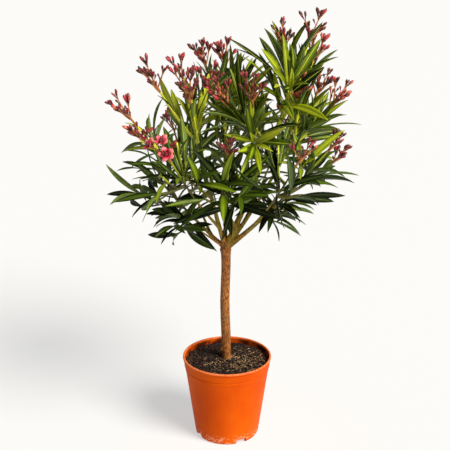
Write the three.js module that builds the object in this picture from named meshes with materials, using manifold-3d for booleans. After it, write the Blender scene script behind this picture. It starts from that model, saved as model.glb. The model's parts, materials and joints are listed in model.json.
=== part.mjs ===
// Potted oleander: a standard, with one bare stem under a round crown, in an orange nursery pot.
// Millimetres, +Z up. The origin is the centre of the pot's underside, with X to the right, Y to the back.
// Headings are degrees from +X, turning towards +Y, so 270 faces the front.

import * as THREE from "three";
import { mergeVertices } from "three/addons/utils/BufferGeometryUtils.js";
import Module from "manifold-3d";

const wasm = await Module();
wasm.setup();

// The pot: its outer sizes, the band and lip round its rim, and a fainter step below the band
const POT_HEIGHT = 210;
const RIM_RADIUS = 110;
const BASE_RADIUS = 80.5;
const WALL = 2.6;
const LIP_HEIGHT = 6;
const LIP_WIDTH = 2.4;
const BAND_HEIGHT = 27;
const BAND_STEP = 3.4;
const GROOVE = 0.4;
const SHOULDER_HEIGHT = 38;
const SHOULDER_STEP = 0.8;
const ROUNDING = 1.5;
const EDGE_ROUND = 12;
const FLOOR_ROUND = 4;
const POT_SIDES = 28;

// The foot ring with its drainage slots, and the raised channel they lead to
const RING_WIDTH = 8;
const CHANNEL_RISE = 12;
const CHANNEL_INNER = 56;
const SLOT_WIDTH = 28;
const SLOT_HEIGHT = 13;
const SLOT_HEADINGS = [297, 207, 117, 27];

// The compost, which fills the pot and is mounded round the stem
const SOIL_BELOW_RIM = 15;
const SOIL_MOUND = 8;
const SOIL_CLODS = 1;
const SOIL_RINGS = 5;

// The bare stem, from its foot in the compost to the knuckle at its fork
const FORK_HEIGHT = 492;
const STEM_SUNK = 3;
const STEM_RADIUS = 12;
const STEM_TAPER = 1;
const STEM_OFFSET = -4;
const STEM_WAVE = 1.3;
const FOOT_SHIFT = 5;
const FOOT_PINCH = 2.4;
const FOOT_HEIGHT = 20;
const FLARE = 3.6;
const FLARE_HEIGHT = 6;
const KNUCKLE_SWELL = 2.6;
const KNUCKLE_HEIGHT = 16;
const KNUCKLE_FLATNESS = 0.62;
const STEM_SIDES = 9;
const STEM_STEPS = 13;

// The sawn stub at the fork, and the knot low on the left of the stem
const STUB_REACH = [-3, 6, 26];
const STUB_RADII = [6, 5];
const STUB_SIDES = 7;
const KNOT_RADIUS = 5;
const KNOT_PLACE = 0.09;
const KNOT_FORWARD = 2;

// Clearance kept between pieces that touch, and between the leaves of one mass and the rest
const GAP = 0.3;
const CLEAR = 0.5;
const FINISH = 0.02;

// Boughs end at this share of the way to the top of their mass, where the mass's own stem begins.
const BOUGH_SHARE = 0.5;
const BOUGH_TAPER = 0.42;
const BOUGH_SIDES = 6;
const BOUGH_STEPS = 3;

// Side shoots leave that stem from the first share on, one step above the other. A foot is the share of a
// shoot that has no leaves. Jitter is in millimetres along the stem and in degrees round it.
const SIDE_SHARE = 0.6;
const SIDE_STEP = 0.07;
const SIDE_BEND = 0.1;
const SIDE_JITTER = 24;
const SIDE_FOOT = 0.2;
const LEADER_FOOT = 0.25;
const LEADER_SHARE = 0.58;
const SHOOT_RADIUS = 2.1;
const SHOOT_TIP = 1.7;
const SHOOT_SIDES = 3;
const SHOOT_STEPS = 2;

// Leaves: the keel is how far the blade's underside hangs below its edges
const LEAF_LENGTH = 140;
const LEAF_WIDTH = 24;
const LEAF_KEEL = 2.6;
const LEAF_WIDEST = 0.45;
const LEAF_DEEPEST = 0.3;
const LEAF_ARCH = [2, 7];
const LEAF_SIZE = [0.68, 0.92];
const LEAF_GROWN_BY = 0.4;
const LEAF_MIDDLE = 0.6;
const LEAF_ROOT = 0.1;

// Leaves stand in whorls of three. Their angle to the shoot and their sag grow from its tip to its foot.
const WHORL = 3;
const WHORLS_LEAST = 3;
const WHORL_SPACING = 41;
const WHORL_STAGGER = 5;
const WHORL_TURN = [60, 40];
const LEAF_OPEN = 20;
const LEAF_OPEN_AGED = 50;
const LEAF_OPEN_VARIES = 16;
const LEAF_JITTER = 24;
const LEAF_ROLL = 50;
const LEAF_SAG = 0.35;

// Places that a leaf tries in turn: a share of its length, and degrees round its shoot
const LEAF_TRIES = [[1, 0], [1, 15], [1, -15], [0.85, 0], [0.85, 30], [0.7, -8], [0.7, 20], [0.55, 8]];

// Flower heads: a stalk above the leaves that divides into rays, each with two buds
const STALK = 80;
const STALK_LEAN = 0.0045;
const RAYS = 3;
const RAY = 34;
const RAY_RADIUS = 1.7;
const RAY_STEP = 7;
const RAY_SUNK = 1.5;
const BUD_LENGTH = 27;
const BUD_RADIUS = 5;
const BUD_BELLY = 0.55;
const SECOND_BUD = 0.75;

// Outline of the crown: its widest height and reach there, its lowest and highest leaf, and how far its
// axis leans to the right above its widest height. Leaves hang at most DROOP below their mass's middle, and
// none hang within BARE_REACH of the stem's axis under BARE_HEIGHT, where the boughs stand bare.
const CROWN_WIDEST = 650;
const CROWN_REACH = 306;
const CROWN_FLOOR = 490;
const CROWN_BOTTOM = 455;
const CROWN_TOP = 1100;
const CROWN_LEAN = 0.32;
const DROOP = 92;
const BARE_REACH = 80;
const BARE_HEIGHT = 585;
const SPACE_SLACK = 12;

// Each row is a bough and the mass of foliage at its end. A bough springs from the stem's fork, or from the
// side of another bough at a share of its length. Heading, reach and height place the middle of the mass.
const GROWTH = [
  { name: "left_tall", parent: "fork", share: 1, heading: 213, reach: 84, height: 830,
    bend: 0.08, radius: 6.2, spread: 50, turn: 30, bloom: [1.2, 1, 1.1, 0.8], leaf: 1, seed: 11 },
  { name: "left_wide", parent: "fork", share: 1, heading: 176, reach: 170, height: 672,
    bend: 0.06, radius: 5.4, spread: 58, turn: 80, bloom: [0, 0, 0, 0], leaf: 1, seed: 12 },
  { name: "left_low", parent: "fork", share: 1, heading: 194, reach: 126, height: 586,
    bend: -0.02, radius: 3.4, spread: 54, turn: 20, bloom: [0, 0, 0], leaf: 0.72, seed: 13 },
  { name: "centre", parent: "fork", share: 1, heading: 4, reach: 136, height: 912,
    bend: 0.06, radius: 8.2, spread: 42, turn: 60, bloom: [1.35, 0.85, 0, 0.8], leaf: 1, seed: 14 },
  { name: "right_wide", parent: "fork", share: 1, heading: 350, reach: 194, height: 700,
    bend: 0.08, radius: 6.8, spread: 56, turn: 40, bloom: [0.9, 0.7, 0], leaf: 0.95, seed: 15 },
  { name: "right_tall", parent: "fork", share: 1, heading: 2, reach: 162, height: 812,
    bend: 0.1, radius: 5.8, spread: 44, turn: 0, bloom: [1.1, 0, 1, 0.7], leaf: 0.9, seed: 16 },
  { name: "right_low", parent: "fork", share: 1, heading: 8, reach: 134, height: 598,
    bend: 0, radius: 3.2, spread: 52, turn: 45, bloom: [0, 0, 0], leaf: 0.74, seed: 17 },
  { name: "back", parent: "fork", share: 1, heading: 92, reach: 180, height: 740,
    bend: 0.08, radius: 5.4, spread: 56, turn: 0, bloom: [0.9, 0, 0, 0], leaf: 1, seed: 18 },
  { name: "top_left", parent: "back", share: 0.35, heading: 92, reach: 70, height: 852,
    bend: 0.04, radius: 4, spread: 46, turn: 15, bloom: [1.1, 1, 0, 0], leaf: 0.95, seed: 19 },
  { name: "left_outer", parent: "left_tall", share: 0.7, heading: 208, reach: 184, height: 770,
    bend: 0.1, radius: 3.4, spread: 30, turn: 200, bloom: [1.3, 0, 0.6], leaf: 0.85, seed: 27 },
  { name: "front_left", parent: "left_tall", share: 0.3, heading: 236, reach: 176, height: 704,
    bend: 0.08, radius: 3.8, spread: 52, turn: 10, bloom: [1.1, 0, 0, 0], leaf: 1, seed: 20 },
  { name: "front_high", parent: "centre", share: 0.62, heading: 296, reach: 90, height: 800,
    bend: 0.08, radius: 3.8, spread: 48, turn: 70, bloom: [1.2, 0, 1.1, 0], leaf: 1, seed: 21 },
  { name: "front", parent: "centre", share: 0.24, heading: 266, reach: 164, height: 690,
    bend: 0.1, radius: 3.6, spread: 50, turn: 30, bloom: [0, 0, 0, 0.5], leaf: 1, seed: 22 },
  { name: "front_right", parent: "right_wide", share: 0.36, heading: 310, reach: 182, height: 690,
    bend: 0.1, radius: 3.8, spread: 52, turn: 50, bloom: [1.25, 0, 0, 0], leaf: 1, seed: 23 },
  { name: "back_left", parent: "left_wide", share: 0.42, heading: 128, reach: 176, height: 700,
    bend: 0.1, radius: 3.6, spread: 56, turn: 20, bloom: [0.9, 0, 0], leaf: 1, seed: 24 },
  { name: "back_right", parent: "right_tall", share: 0.34, heading: 50, reach: 180, height: 706,
    bend: 0.1, radius: 3.8, spread: 56, turn: 0, bloom: [1, 0, 0], leaf: 1, seed: 25 },
  { name: "back_low", parent: "back", share: 0.2, heading: 88, reach: 170, height: 632,
    bend: 0.08, radius: 3.4, spread: 56, turn: 10, bloom: [0, 0, 0], leaf: 0.9, seed: 26 },
];

const COLOURS = {
  pot: [0xe8590c, 0.45],
  soil: [0x33241a, 0.95],
  bark: [0x8a5a33, 0.8],
  bough: [0x7d7a3a, 0.7],
  leaf: [0x3d6b25, 0.5],
};

const UP = new THREE.Vector3(0, 0, 1);
const STEM_FOOT = POT_HEIGHT - SOIL_BELOW_RIM + SOIL_MOUND - STEM_SUNK;
const radians = THREE.MathUtils.degToRad;

// A repeatable run of numbers from 0 to 1
function seeded(seed) {
  let state = seed >>> 0;
  return () => {
    state = (Math.imul(state, 1664525) + 1013904223) >>> 0;
    return state / 4294967296;
  };
}

// A closed body from a geometry whose seams are merged and whose empty faces are dropped
function solid(geometry) {
  const bare = geometry.clone();
  bare.deleteAttribute("normal");
  bare.deleteAttribute("uv");
  const merged = mergeVertices(bare, 1e-4);
  const index = merged.index.array;
  const kept = [];
  for (let i = 0; i < index.length; i += 3) {
    const [a, b, c] = index.slice(i, i + 3);
    if (a !== b && b !== c && c !== a) kept.push(a, b, c);
  }
  return new wasm.Manifold(
    new wasm.Mesh({
      numProp: 3,
      vertProperties: new Float32Array(merged.attributes.position.array),
      triVerts: new Uint32Array(kept),
    }),
  );
}

function geometryOf(body) {
  const mesh = body.getMesh();
  const geometry = new THREE.BufferGeometry();
  geometry.setAttribute("position", new THREE.BufferAttribute(mesh.vertProperties, 3));
  geometry.setIndex(new THREE.BufferAttribute(mesh.triVerts, 1));
  geometry.computeVertexNormals();
  return geometry;
}

// The largest closed body that a cut leaves
function largest(body) {
  return body.decompose().reduce((best, piece) => (piece.volume() > best.volume() ? piece : best));
}

function polar(heading, reach, height) {
  return new THREE.Vector3(
    reach * Math.cos(radians(heading)),
    reach * Math.sin(radians(heading)),
    height,
  );
}

// A growth line from start to end. Bend lowers its middle, so that it turns up towards its end.
function growthLine(start, end, bend) {
  const span = new THREE.Vector3().subVectors(end, start);
  const middle = start.clone().addScaledVector(span, 0.5).addScaledVector(UP, -bend * span.length());
  const curve = new THREE.QuadraticBezierCurve3(start, middle, end);
  const side = new THREE.Vector3().crossVectors(UP, span);
  if (side.length() < 1) side.set(1, 0, 0);
  side.normalize();
  return {
    side,
    length: span.length(),
    point: (t) => curve.getPoint(t),
    tangent: (t) => curve.getTangent(Math.min(1, Math.max(0, t))),
  };
}

// A closed tapering limb: the rings of a cylinder are moved onto the growth line between two shares of it.
function limb(line, radiusAt, sides, steps, begin = 0, end = 1) {
  const geometry = new THREE.CylinderGeometry(1, 1, 1, sides, steps);
  const position = geometry.attributes.position;
  for (let i = 0; i < position.count; i += 1) {
    const t = begin + (end - begin) * (position.getY(i) + 0.5);
    const third = new THREE.Vector3().crossVectors(line.side, line.tangent(t)).normalize();
    const place = line
      .point(t)
      .addScaledVector(line.side, position.getX(i) * radiusAt(t))
      .addScaledVector(third, position.getZ(i) * radiusAt(t));
    position.setXYZ(i, place.x, place.y, place.z);
  }
  return solid(geometry);
}

function taper(from, to) {
  return (t) => from + (to - from) * t;
}

// A profile of radius and height turned round the upright axis
function turnedGeometry(profile, sides) {
  const points = profile.map(([radius, height]) => new THREE.Vector2(radius, height));
  const geometry = new THREE.LatheGeometry(points, sides);
  geometry.rotateX(Math.PI / 2);
  return geometry;
}

// Closed body from corner points and faces that turn outwards
function shell(corners, faces) {
  const geometry = new THREE.BufferGeometry();
  const places = corners.flatMap((corner) => corner.toArray());
  geometry.setAttribute("position", new THREE.Float32BufferAttribute(places, 3));
  geometry.setIndex(faces.flat());
  return solid(geometry);
}

// Radius of the pot's outer wall under the rim band
function wallRadius(height) {
  const top = POT_HEIGHT - BAND_HEIGHT;
  const bandRadius = RIM_RADIUS - LIP_WIDTH - BAND_STEP;
  return BASE_RADIUS + ((bandRadius - BASE_RADIUS) * height) / top;
}

// Radius of the pot's inner wall, which widens a little inside the rim band
function innerRadius(height) {
  const band = POT_HEIGHT - BAND_HEIGHT;
  const share = Math.max(0, height - band) / BAND_HEIGHT;
  return wallRadius(Math.min(height, band)) - WALL + BAND_STEP * share;
}

// Inner floor and wall, moved inwards by a clearance
function insideProfile(clearance) {
  const low = WALL + clearance;
  const high = CHANNEL_RISE + low;
  const band = POT_HEIGHT - BAND_HEIGHT;
  return [
    [0, low],
    [CHANNEL_INNER - clearance, low],
    [CHANNEL_INNER + WALL - clearance, high],
    [innerRadius(high) - FLOOR_ROUND / 2 - clearance, high],
    [innerRadius(high + FLOOR_ROUND) - clearance, high + FLOOR_ROUND],
    [innerRadius(band) - clearance, band],
  ];
}

// The foot ring and the rounded edge above it, from the axis outwards
function footProfile() {
  const inner = BASE_RADIUS - RING_WIDTH;
  const round = [0, 45, 90].map((turn) => [
    BASE_RADIUS - (EDGE_ROUND / 2) * (1 - Math.sin(radians(turn))),
    EDGE_ROUND * (1 - Math.cos(radians(turn))),
  ]);
  return [
    [0, 0],
    [CHANNEL_INNER, 0],
    [CHANNEL_INNER + WALL, CHANNEL_RISE],
    [inner, CHANNEL_RISE],
    [inner, 0],
    ...round,
  ];
}

// The step under the rim band, the band itself and the lip
function rimProfile() {
  const band = POT_HEIGHT - BAND_HEIGHT;
  const shoulder = POT_HEIGHT - SHOULDER_HEIGHT;
  const bandRadius = RIM_RADIUS - LIP_WIDTH;
  return [
    [wallRadius(shoulder), shoulder],
    [wallRadius(shoulder) + SHOULDER_STEP, shoulder + ROUNDING],
    [wallRadius(band) + SHOULDER_STEP, band - ROUNDING],
    [wallRadius(band) - GROOVE, band],
    [bandRadius - ROUNDING, band + ROUNDING],
    [bandRadius, POT_HEIGHT - LIP_HEIGHT - ROUNDING],
    [RIM_RADIUS - GROOVE, POT_HEIGHT - LIP_HEIGHT],
    [RIM_RADIUS, POT_HEIGHT - ROUNDING],
    [RIM_RADIUS - ROUNDING / 2, POT_HEIGHT],
  ];
}

function makePot() {
  const inside = [
    [innerRadius(POT_HEIGHT) + ROUNDING / 2, POT_HEIGHT],
    [innerRadius(POT_HEIGHT - ROUNDING), POT_HEIGHT - ROUNDING],
    ...insideProfile(0).reverse(),
  ];
  const pot = solid(turnedGeometry([...footProfile(), ...rimProfile(), ...inside], POT_SIDES));
  const slots = SLOT_HEADINGS.map((heading) => {
    const block = new THREE.BoxGeometry(3 * RING_WIDTH, SLOT_WIDTH, 2 * SLOT_HEIGHT);
    block.translate(BASE_RADIUS, 0, 0);
    block.rotateZ(radians(heading));
    return solid(block);
  });
  return slots.reduce((body, slot) => body.subtract(slot), pot);
}

// Height of the clods at a place: three crossing waves, the last one short and low
function clodHeight(x, y) {
  const waves = Math.sin(0.31 * x + 0.17 * y) + Math.sin(0.43 * y - 0.12 * x) + 0.5 * Math.sin(0.9 * x);
  return SOIL_CLODS * waves;
}

// Compost: it follows the inside of the pot, and its mounded top is broken into clods.
function makeSoil(trunkSpace) {
  const rim = POT_HEIGHT - SOIL_BELOW_RIM;
  const edge = innerRadius(rim) - GAP;
  const mound = Array.from({ length: SOIL_RINGS + 1 }, (_, ring) => {
    const share = 1 - ring / SOIL_RINGS;
    return [edge * share, rim + SOIL_MOUND * (1 - share * share)];
  });
  const geometry = turnedGeometry([...insideProfile(GAP), ...mound], POT_SIDES);
  const position = geometry.attributes.position;
  for (let i = 0; i < position.count; i += 1) {
    const height = position.getZ(i);
    if (height >= rim - GAP) position.setZ(i, height + clodHeight(position.getX(i), position.getY(i)));
  }
  return solid(geometry).subtract(trunkSpace);
}

// The stem stands on a pinched, shifted foot with a slight flare, and swells into a knuckle at the fork.
function stemLine() {
  const rise = FORK_HEIGHT - STEM_FOOT;
  const foot = (t) => Math.exp(-((t * rise) / FOOT_HEIGHT));
  const point = (t) =>
    new THREE.Vector3(
      STEM_OFFSET + FOOT_SHIFT * foot(t) + STEM_WAVE * Math.sin(t * 9),
      STEM_WAVE * Math.sin(t * 7 + 1),
      STEM_FOOT + rise * t,
    );
  const tangent = () => UP.clone();
  return { side: new THREE.Vector3(1, 0, 0), point, tangent, length: rise };
}

function stemRadius(t) {
  const rise = FORK_HEIGHT - STEM_FOOT;
  const above = t * rise;
  const below = (1 - t) * rise;
  return (
    STEM_RADIUS -
    STEM_TAPER * t -
    FOOT_PINCH * Math.exp(-above / FOOT_HEIGHT) +
    FLARE * Math.exp(-above / FLARE_HEIGHT) +
    KNUCKLE_SWELL * Math.exp(-below / KNUCKLE_HEIGHT)
  );
}

function makeTrunk(line, grow) {
  const shaft = limb(line, (t) => stemRadius(t) + grow, STEM_SIDES, STEM_STEPS, -grow / line.length);
  const top = line.point(1);
  const knuckle = new THREE.SphereGeometry(stemRadius(1) + grow, STEM_SIDES, 6);
  knuckle.rotateX(Math.PI / 2);
  knuckle.scale(1, 1, KNUCKLE_FLATNESS);
  knuckle.translate(top.x, top.y, top.z);
  const stubLine = growthLine(top, top.clone().add(new THREE.Vector3(...STUB_REACH)), 0);
  const [stubFoot, stubTop] = STUB_RADII;
  const stub = limb(stubLine, taper(stubFoot + grow, stubTop + grow), STUB_SIDES, 1);
  const knot = new THREE.SphereGeometry(KNOT_RADIUS + grow, 7, 5);
  const place = line.point(KNOT_PLACE);
  knot.translate(place.x - stemRadius(KNOT_PLACE) + 1, place.y - KNOT_FORWARD, place.z);
  return shaft.add(solid(knuckle)).add(stub).add(solid(knot));
}

const trunkLine = stemLine();
const fork = trunkLine.point(1);

// The top of a shoot's flower stalk, which leans outwards the further out it stands
function stalkTop(tip, bloom) {
  const lean = new THREE.Vector3(tip.x, tip.y, 0).multiplyScalar(STALK_LEAN);
  return tip.clone().addScaledVector(lean.setZ(1).normalize(), STALK * bloom);
}

// Growth line of a bough and its mass, from the middle of the limb it springs from to the top of its leader
function makeLine(row, lines) {
  const start = row.parent === "fork" ? fork : lines[row.parent].point(row.share * BOUGH_SHARE);
  const tip = polar(row.heading, row.reach, row.height);
  return growthLine(start, stalkTop(tip, row.bloom[0]), row.bend);
}

function boughRadius(row) {
  return (t) => row.radius * (1 - BOUGH_TAPER * (t / BOUGH_SHARE));
}

function makeBough(row, line, grow) {
  const beyond = grow / line.length;
  const radiusAt = (t) => boughRadius(row)(t) + grow;
  return limb(line, radiusAt, BOUGH_SIDES, BOUGH_STEPS, 0, BOUGH_SHARE + beyond);
}

// The part of a growth line past a share of it
function restOf(line, begin) {
  const along = (t) => begin + (1 - begin) * t;
  return {
    side: line.side,
    length: line.length * (1 - begin),
    point: (t) => line.point(along(t)),
    tangent: (t) => line.tangent(along(t)),
  };
}

// The stem of a mass runs on from its bough as the leader. Side shoots leave it one above the other and fan
// out round it, each a little off its place. A shoot that flowers runs on above its leaves as a stalk.
function makeShoots(row, line) {
  const random = seeded(row.seed);
  const leader = restOf(line, BOUGH_SHARE + GAP / line.length);
  const shoots = [
    { line: leader, bloom: row.bloom[0], radius: row.radius * LEADER_SHARE, foot: LEADER_FOOT },
  ];
  const others = row.bloom.slice(1);
  others.forEach((bloom, k) => {
    const begin = SIDE_SHARE + SIDE_STEP * k;
    const ahead = line.tangent(begin);
    const third = new THREE.Vector3().crossVectors(line.side, ahead);
    const around = radians(row.turn + (360 / others.length) * k + SIDE_JITTER * (random() - 0.5));
    const out = row.spread * (0.85 + 0.3 * random());
    const tip = polar(row.heading, row.reach, row.height)
      .addScaledVector(line.side, out * Math.cos(around))
      .addScaledVector(third, out * Math.sin(around))
      .addScaledVector(ahead, SIDE_JITTER * (random() - 0.5));
    const side = growthLine(line.point(begin), stalkTop(tip, bloom), SIDE_BEND);
    shoots.push({ line: side, bloom, radius: SHOOT_RADIUS, foot: SIDE_FOOT });
  });
  return shoots.map((shoot) => {
    const marks = [0, 0.5, 1].map((t) => shoot.line.point(t));
    return { ...shoot, random, marks, leafTop: 1 - (STALK * shoot.bloom) / shoot.line.length };
  });
}

// One leaf: a keeled blade between a root sunk in its shoot and a pointed tip. Its widest part is raised
// above the straight line from root to tip, so that it arches. Begin leaves out the part next to the shoot.
function makeLeaf(leaf, begin) {
  const place = (s, out, up) =>
    leaf.root
      .clone()
      .addScaledVector(leaf.aim, leaf.length * s)
      .addScaledVector(leaf.across, out)
      .addScaledVector(leaf.upper, up);
  const half = leaf.width / 2;
  const corners = [
    place(begin, 0, 0),
    place(LEAF_WIDEST, half, leaf.arch),
    place(LEAF_WIDEST, -half, leaf.arch),
    place(LEAF_DEEPEST, 0, leaf.arch * 0.7 - LEAF_KEEL),
    place(1, 0, 0),
  ];
  const faces = [
    [0, 2, 1], [1, 2, 4],
    [0, 1, 3], [0, 3, 2],
    [4, 3, 1], [4, 2, 3],
  ];
  return shell(corners, faces);
}

function between([low, high], share) {
  return low + (high - low) * share;
}

// One leaf of a whorl, at a share of its shoot's line. Age runs from 0 at the shoot's tip to 1 at its foot.
function leafAt(shoot, scale, share, age, turn) {
  const { line, random } = shoot;
  const tangent = line.tangent(share);
  const third = new THREE.Vector3().crossVectors(line.side, tangent);
  const around = radians(turn + LEAF_JITTER * (random() - 0.5));
  const open = radians(LEAF_OPEN + LEAF_OPEN_AGED * age + LEAF_OPEN_VARIES * random());
  const aim = tangent
    .clone()
    .multiplyScalar(Math.cos(open))
    .addScaledVector(line.side, Math.sin(open) * Math.cos(around))
    .addScaledVector(third, Math.sin(open) * Math.sin(around))
    .addScaledVector(UP, -LEAF_SAG * age * random())
    .normalize();
  const across = new THREE.Vector3().crossVectors(tangent, aim).normalize();
  across.applyAxisAngle(aim, radians(LEAF_ROLL * (random() - 0.5)));
  const upper = new THREE.Vector3().crossVectors(aim, across);
  const grown = 0.3 * Math.min(1, age / LEAF_GROWN_BY);
  const size = scale * (grown + between(LEAF_SIZE, random()));
  const width = LEAF_WIDTH * (0.5 + 0.5 * size);
  const arch = between(LEAF_ARCH, random());
  return { tangent, aim, across, upper, length: LEAF_LENGTH * size, width, arch };
}

// The rule for one shoot: whorls of leaves from its tip down, longer and more open towards its foot
function leavesOf(shoot, scale) {
  const { line, random, leafTop, foot } = shoot;
  const leaves = [];
  const whorls = Math.max(WHORLS_LEAST, Math.round((line.length * (leafTop - foot)) / WHORL_SPACING));
  const [turnStep, turnVaries] = WHORL_TURN;
  for (let rank = 0; rank < whorls; rank += 1) {
    const age = rank / whorls;
    const share = leafTop - (leafTop - foot) * age;
    const turn = turnStep * rank + turnVaries * random();
    for (let j = 0; j < WHORL; j += 1) {
      const leaf = leafAt(shoot, scale, share, age, turn + (360 / WHORL) * j);
      const root = line.point(share - (WHORL_STAGGER * j) / line.length);
      leaves.push({ ...leaf, rank, root });
    }
  }
  return leaves;
}

// A closed three-sided body from a point through rings of [share of its length, radius] to a pointed tip
function spindle(root, aim, length, rings) {
  const across = new THREE.Vector3().crossVectors(aim, new THREE.Vector3(0.3, 0.9, 0.2)).normalize();
  const third = new THREE.Vector3().crossVectors(aim, across);
  const corners = rings.flatMap(([share, radius]) =>
    [0, 120, 240].map((turn) =>
      root
        .clone()
        .addScaledVector(aim, share * length)
        .addScaledVector(across, radius * Math.cos(radians(turn)))
        .addScaledVector(third, radius * Math.sin(radians(turn))),
    ),
  );
  const tip = corners.length;
  corners.push(root.clone().addScaledVector(aim, length), root.clone());
  const faces = [];
  for (let ring = 0; ring < rings.length; ring += 1) {
    for (let k = 0; k < 3; k += 1) {
      const a = 3 * ring + k;
      const b = 3 * ring + ((k + 1) % 3);
      if (ring === 0) faces.push([b, a, tip + 1]);
      if (ring === rings.length - 1) faces.push([a, b, tip]);
      else faces.push([a, b, a + 3], [b, b + 3, a + 3]);
    }
  }
  return shell(corners, faces);
}

// A stalk that swells into a bud at its end, in one body
function makeBud(root, aim, stalk, size) {
  const length = stalk + BUD_LENGTH * size;
  const neck = stalk / length;
  const belly = neck + (1 - neck) * BUD_BELLY;
  const rings = [[0.02, RAY_RADIUS / 2], [neck, RAY_RADIUS], [belly, BUD_RADIUS * size]];
  return spindle(root, aim, length, rings);
}

function outward(turn, rise) {
  return new THREE.Vector3(Math.cos(radians(turn)), Math.sin(radians(turn)), rise);
}

// A flower head: the shoot's stalk divides into rays, each with a bud at its end and another beside it. The
// first ray stands nearly upright and the others lean outwards.
function makeFlowerHead(shoot) {
  const { line, bloom, random } = shoot;
  const aim = line.tangent(1);
  const parts = [];
  for (let k = 0; k < RAYS; k += 1) {
    const turn = (360 / RAYS) * k;
    const side = outward(turn + 60 * random(), 0);
    const ray = side.multiplyScalar(k === 0 ? 0.15 : 0.5 + 0.4 * random()).add(aim).normalize();
    const stalk = RAY * Math.min(1, bloom) * (0.8 + 0.5 * random());
    const foot = line.point(1).addScaledVector(aim, -RAY_SUNK - RAY_STEP * k);
    parts.push(makeBud(foot, ray, stalk, 0.85 + 0.3 * random()));
    const beside = outward(turn + 180 + 90 * random(), 0.4).addScaledVector(ray, 1.2).normalize();
    const size = 0.8 + 0.3 * random();
    const budFoot = foot.clone().addScaledVector(ray, SECOND_BUD * stalk);
    parts.push(spindle(budFoot, beside, BUD_LENGTH * size, [[0.6, BUD_RADIUS * size]]));
  }
  return parts;
}

// Solids already grown, by the mass they belong to, with their bounding boxes
const grown = [];

function boxOf(body) {
  const { min, max } = body.boundingBox();
  return new THREE.Box3(new THREE.Vector3(...min), new THREE.Vector3(...max));
}

function record(owner, body, outer) {
  grown.push({ owner, body, outer, box: boxOf(body).expandByScalar(CLEAR) });
}

// A new part has room when it stays clear of every limb and of every other mass. Parts of its own mass that
// are leaves also have to be clear of its outer part.
function hasRoom(owner, body, outer) {
  const box = boxOf(body);
  return !grown.some((other) => {
    if (!other.box.intersectsBox(box)) return false;
    if (other.owner !== owner) return other.body.minGap(body, 2 * CLEAR) < CLEAR;
    return Boolean(outer && other.outer) && other.outer.minGap(outer, 1) <= 0;
  });
}

const lines = {};
const rows = GROWTH.map((row) => {
  lines[row.name] = makeLine(row, lines);
  return { ...row, line: lines[row.name], shoots: makeShoots(row, lines[row.name]), parts: [] };
});

// Boughs, each cut clear of the limbs that were there before it
const trunk = makeTrunk(trunkLine, 0).simplify(FINISH);
const trunkSpace = makeTrunk(trunkLine, GAP);
let limbSpace = trunkSpace;
for (const row of rows) {
  row.bough = largest(makeBough(row, row.line, 0).subtract(limbSpace)).simplify(FINISH);
  limbSpace = limbSpace.add(makeBough(row, row.line, GAP));
}
record("limbs", trunk);
rows.forEach((row) => record("limbs", row.bough));

function keep(row, body, outer) {
  row.parts.push(body);
  record(row.name, body, outer);
}

// Shoots come first, then flower heads, then leaves, whorl by whorl from the tips down.
for (const row of rows) {
  row.shoots = row.shoots.filter((shoot) => {
    const twig = limb(shoot.line, taper(shoot.radius, SHOOT_TIP), SHOOT_SIDES, SHOOT_STEPS);
    const room = shoot === row.shoots[0] || hasRoom(row.name, twig);
    if (room) keep(row, twig, twig);
    return room;
  });
}
for (const row of rows) {
  for (const shoot of row.shoots.filter((each) => each.bloom > 0)) {
    const head = makeFlowerHead(shoot);
    for (const part of head) if (hasRoom(row.name, part)) keep(row, part, part);
  }
}

// A leaf that would touch or reach past its own mass is turned or shortened by steps, and at last left out.
function placeLeaf(row, leaf) {
  for (const [share, turn] of LEAF_TRIES) {
    const turned = (arrow) => arrow.clone().applyAxisAngle(leaf.tangent, radians(turn));
    const tried = {
      ...leaf,
      aim: turned(leaf.aim),
      across: turned(leaf.across),
      upper: turned(leaf.upper),
      length: leaf.length * share,
      width: leaf.width * Math.sqrt(share),
    };
    const body = makeLeaf(tried, 0);
    const outer = makeLeaf(tried, LEAF_ROOT);
    if (ownSpace(row, tried) && hasRoom(row.name, body, outer)) {
      keep(row, body, outer);
      return;
    }
  }
}

// A place is in the mass whose shoots come nearest to it.
function nearness(row, place) {
  return Math.min(...row.shoots.flatMap((shoot) => shoot.marks.map((mark) => mark.distanceTo(place))));
}

// True where a place lies within the outline of the crown
function inCrown(place) {
  const above = place.z - CROWN_WIDEST;
  const share = above > 0 ? above / (CROWN_TOP - CROWN_WIDEST) : above / (CROWN_WIDEST - CROWN_BOTTOM);
  const reach = CROWN_REACH * Math.sqrt(Math.max(0, 1 - share * share));
  return Math.hypot(place.x - CROWN_LEAN * Math.max(0, above), place.y) < reach;
}

// A leaf keeps to its mass's space, inside the crown, with its tip no lower than leaves of that mass hang.
function ownSpace(row, leaf) {
  const place = leaf.root.clone().addScaledVector(leaf.aim, leaf.length * LEAF_MIDDLE);
  const own = nearness(row, place);
  const tip = leaf.root.clone().addScaledVector(leaf.aim, leaf.length);
  if (tip.z < Math.max(CROWN_FLOOR, row.height - DROOP) || !inCrown(tip)) return false;
  if (tip.z < BARE_HEIGHT && Math.hypot(tip.x, tip.y) < BARE_REACH) return false;
  return rows.every((other) => nearness(other, place) > own - SPACE_SLACK);
}

const waiting = rows.flatMap((row) =>
  row.shoots.flatMap((shoot) => leavesOf(shoot, row.leaf).map((leaf) => ({ row, leaf }))),
);
waiting.sort((a, b) => a.leaf.rank - b.leaf.rank);
for (const { row, leaf } of waiting) placeLeaf(row, leaf);

const group = new THREE.Group();
group.name = "oleander";

function addNode(name, body, [colour, roughness]) {
  const material = new THREE.MeshStandardMaterial({ color: colour, roughness, metalness: 0 });
  const mesh = new THREE.Mesh(geometryOf(body), material);
  mesh.name = name;
  group.add(mesh);
}

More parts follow.
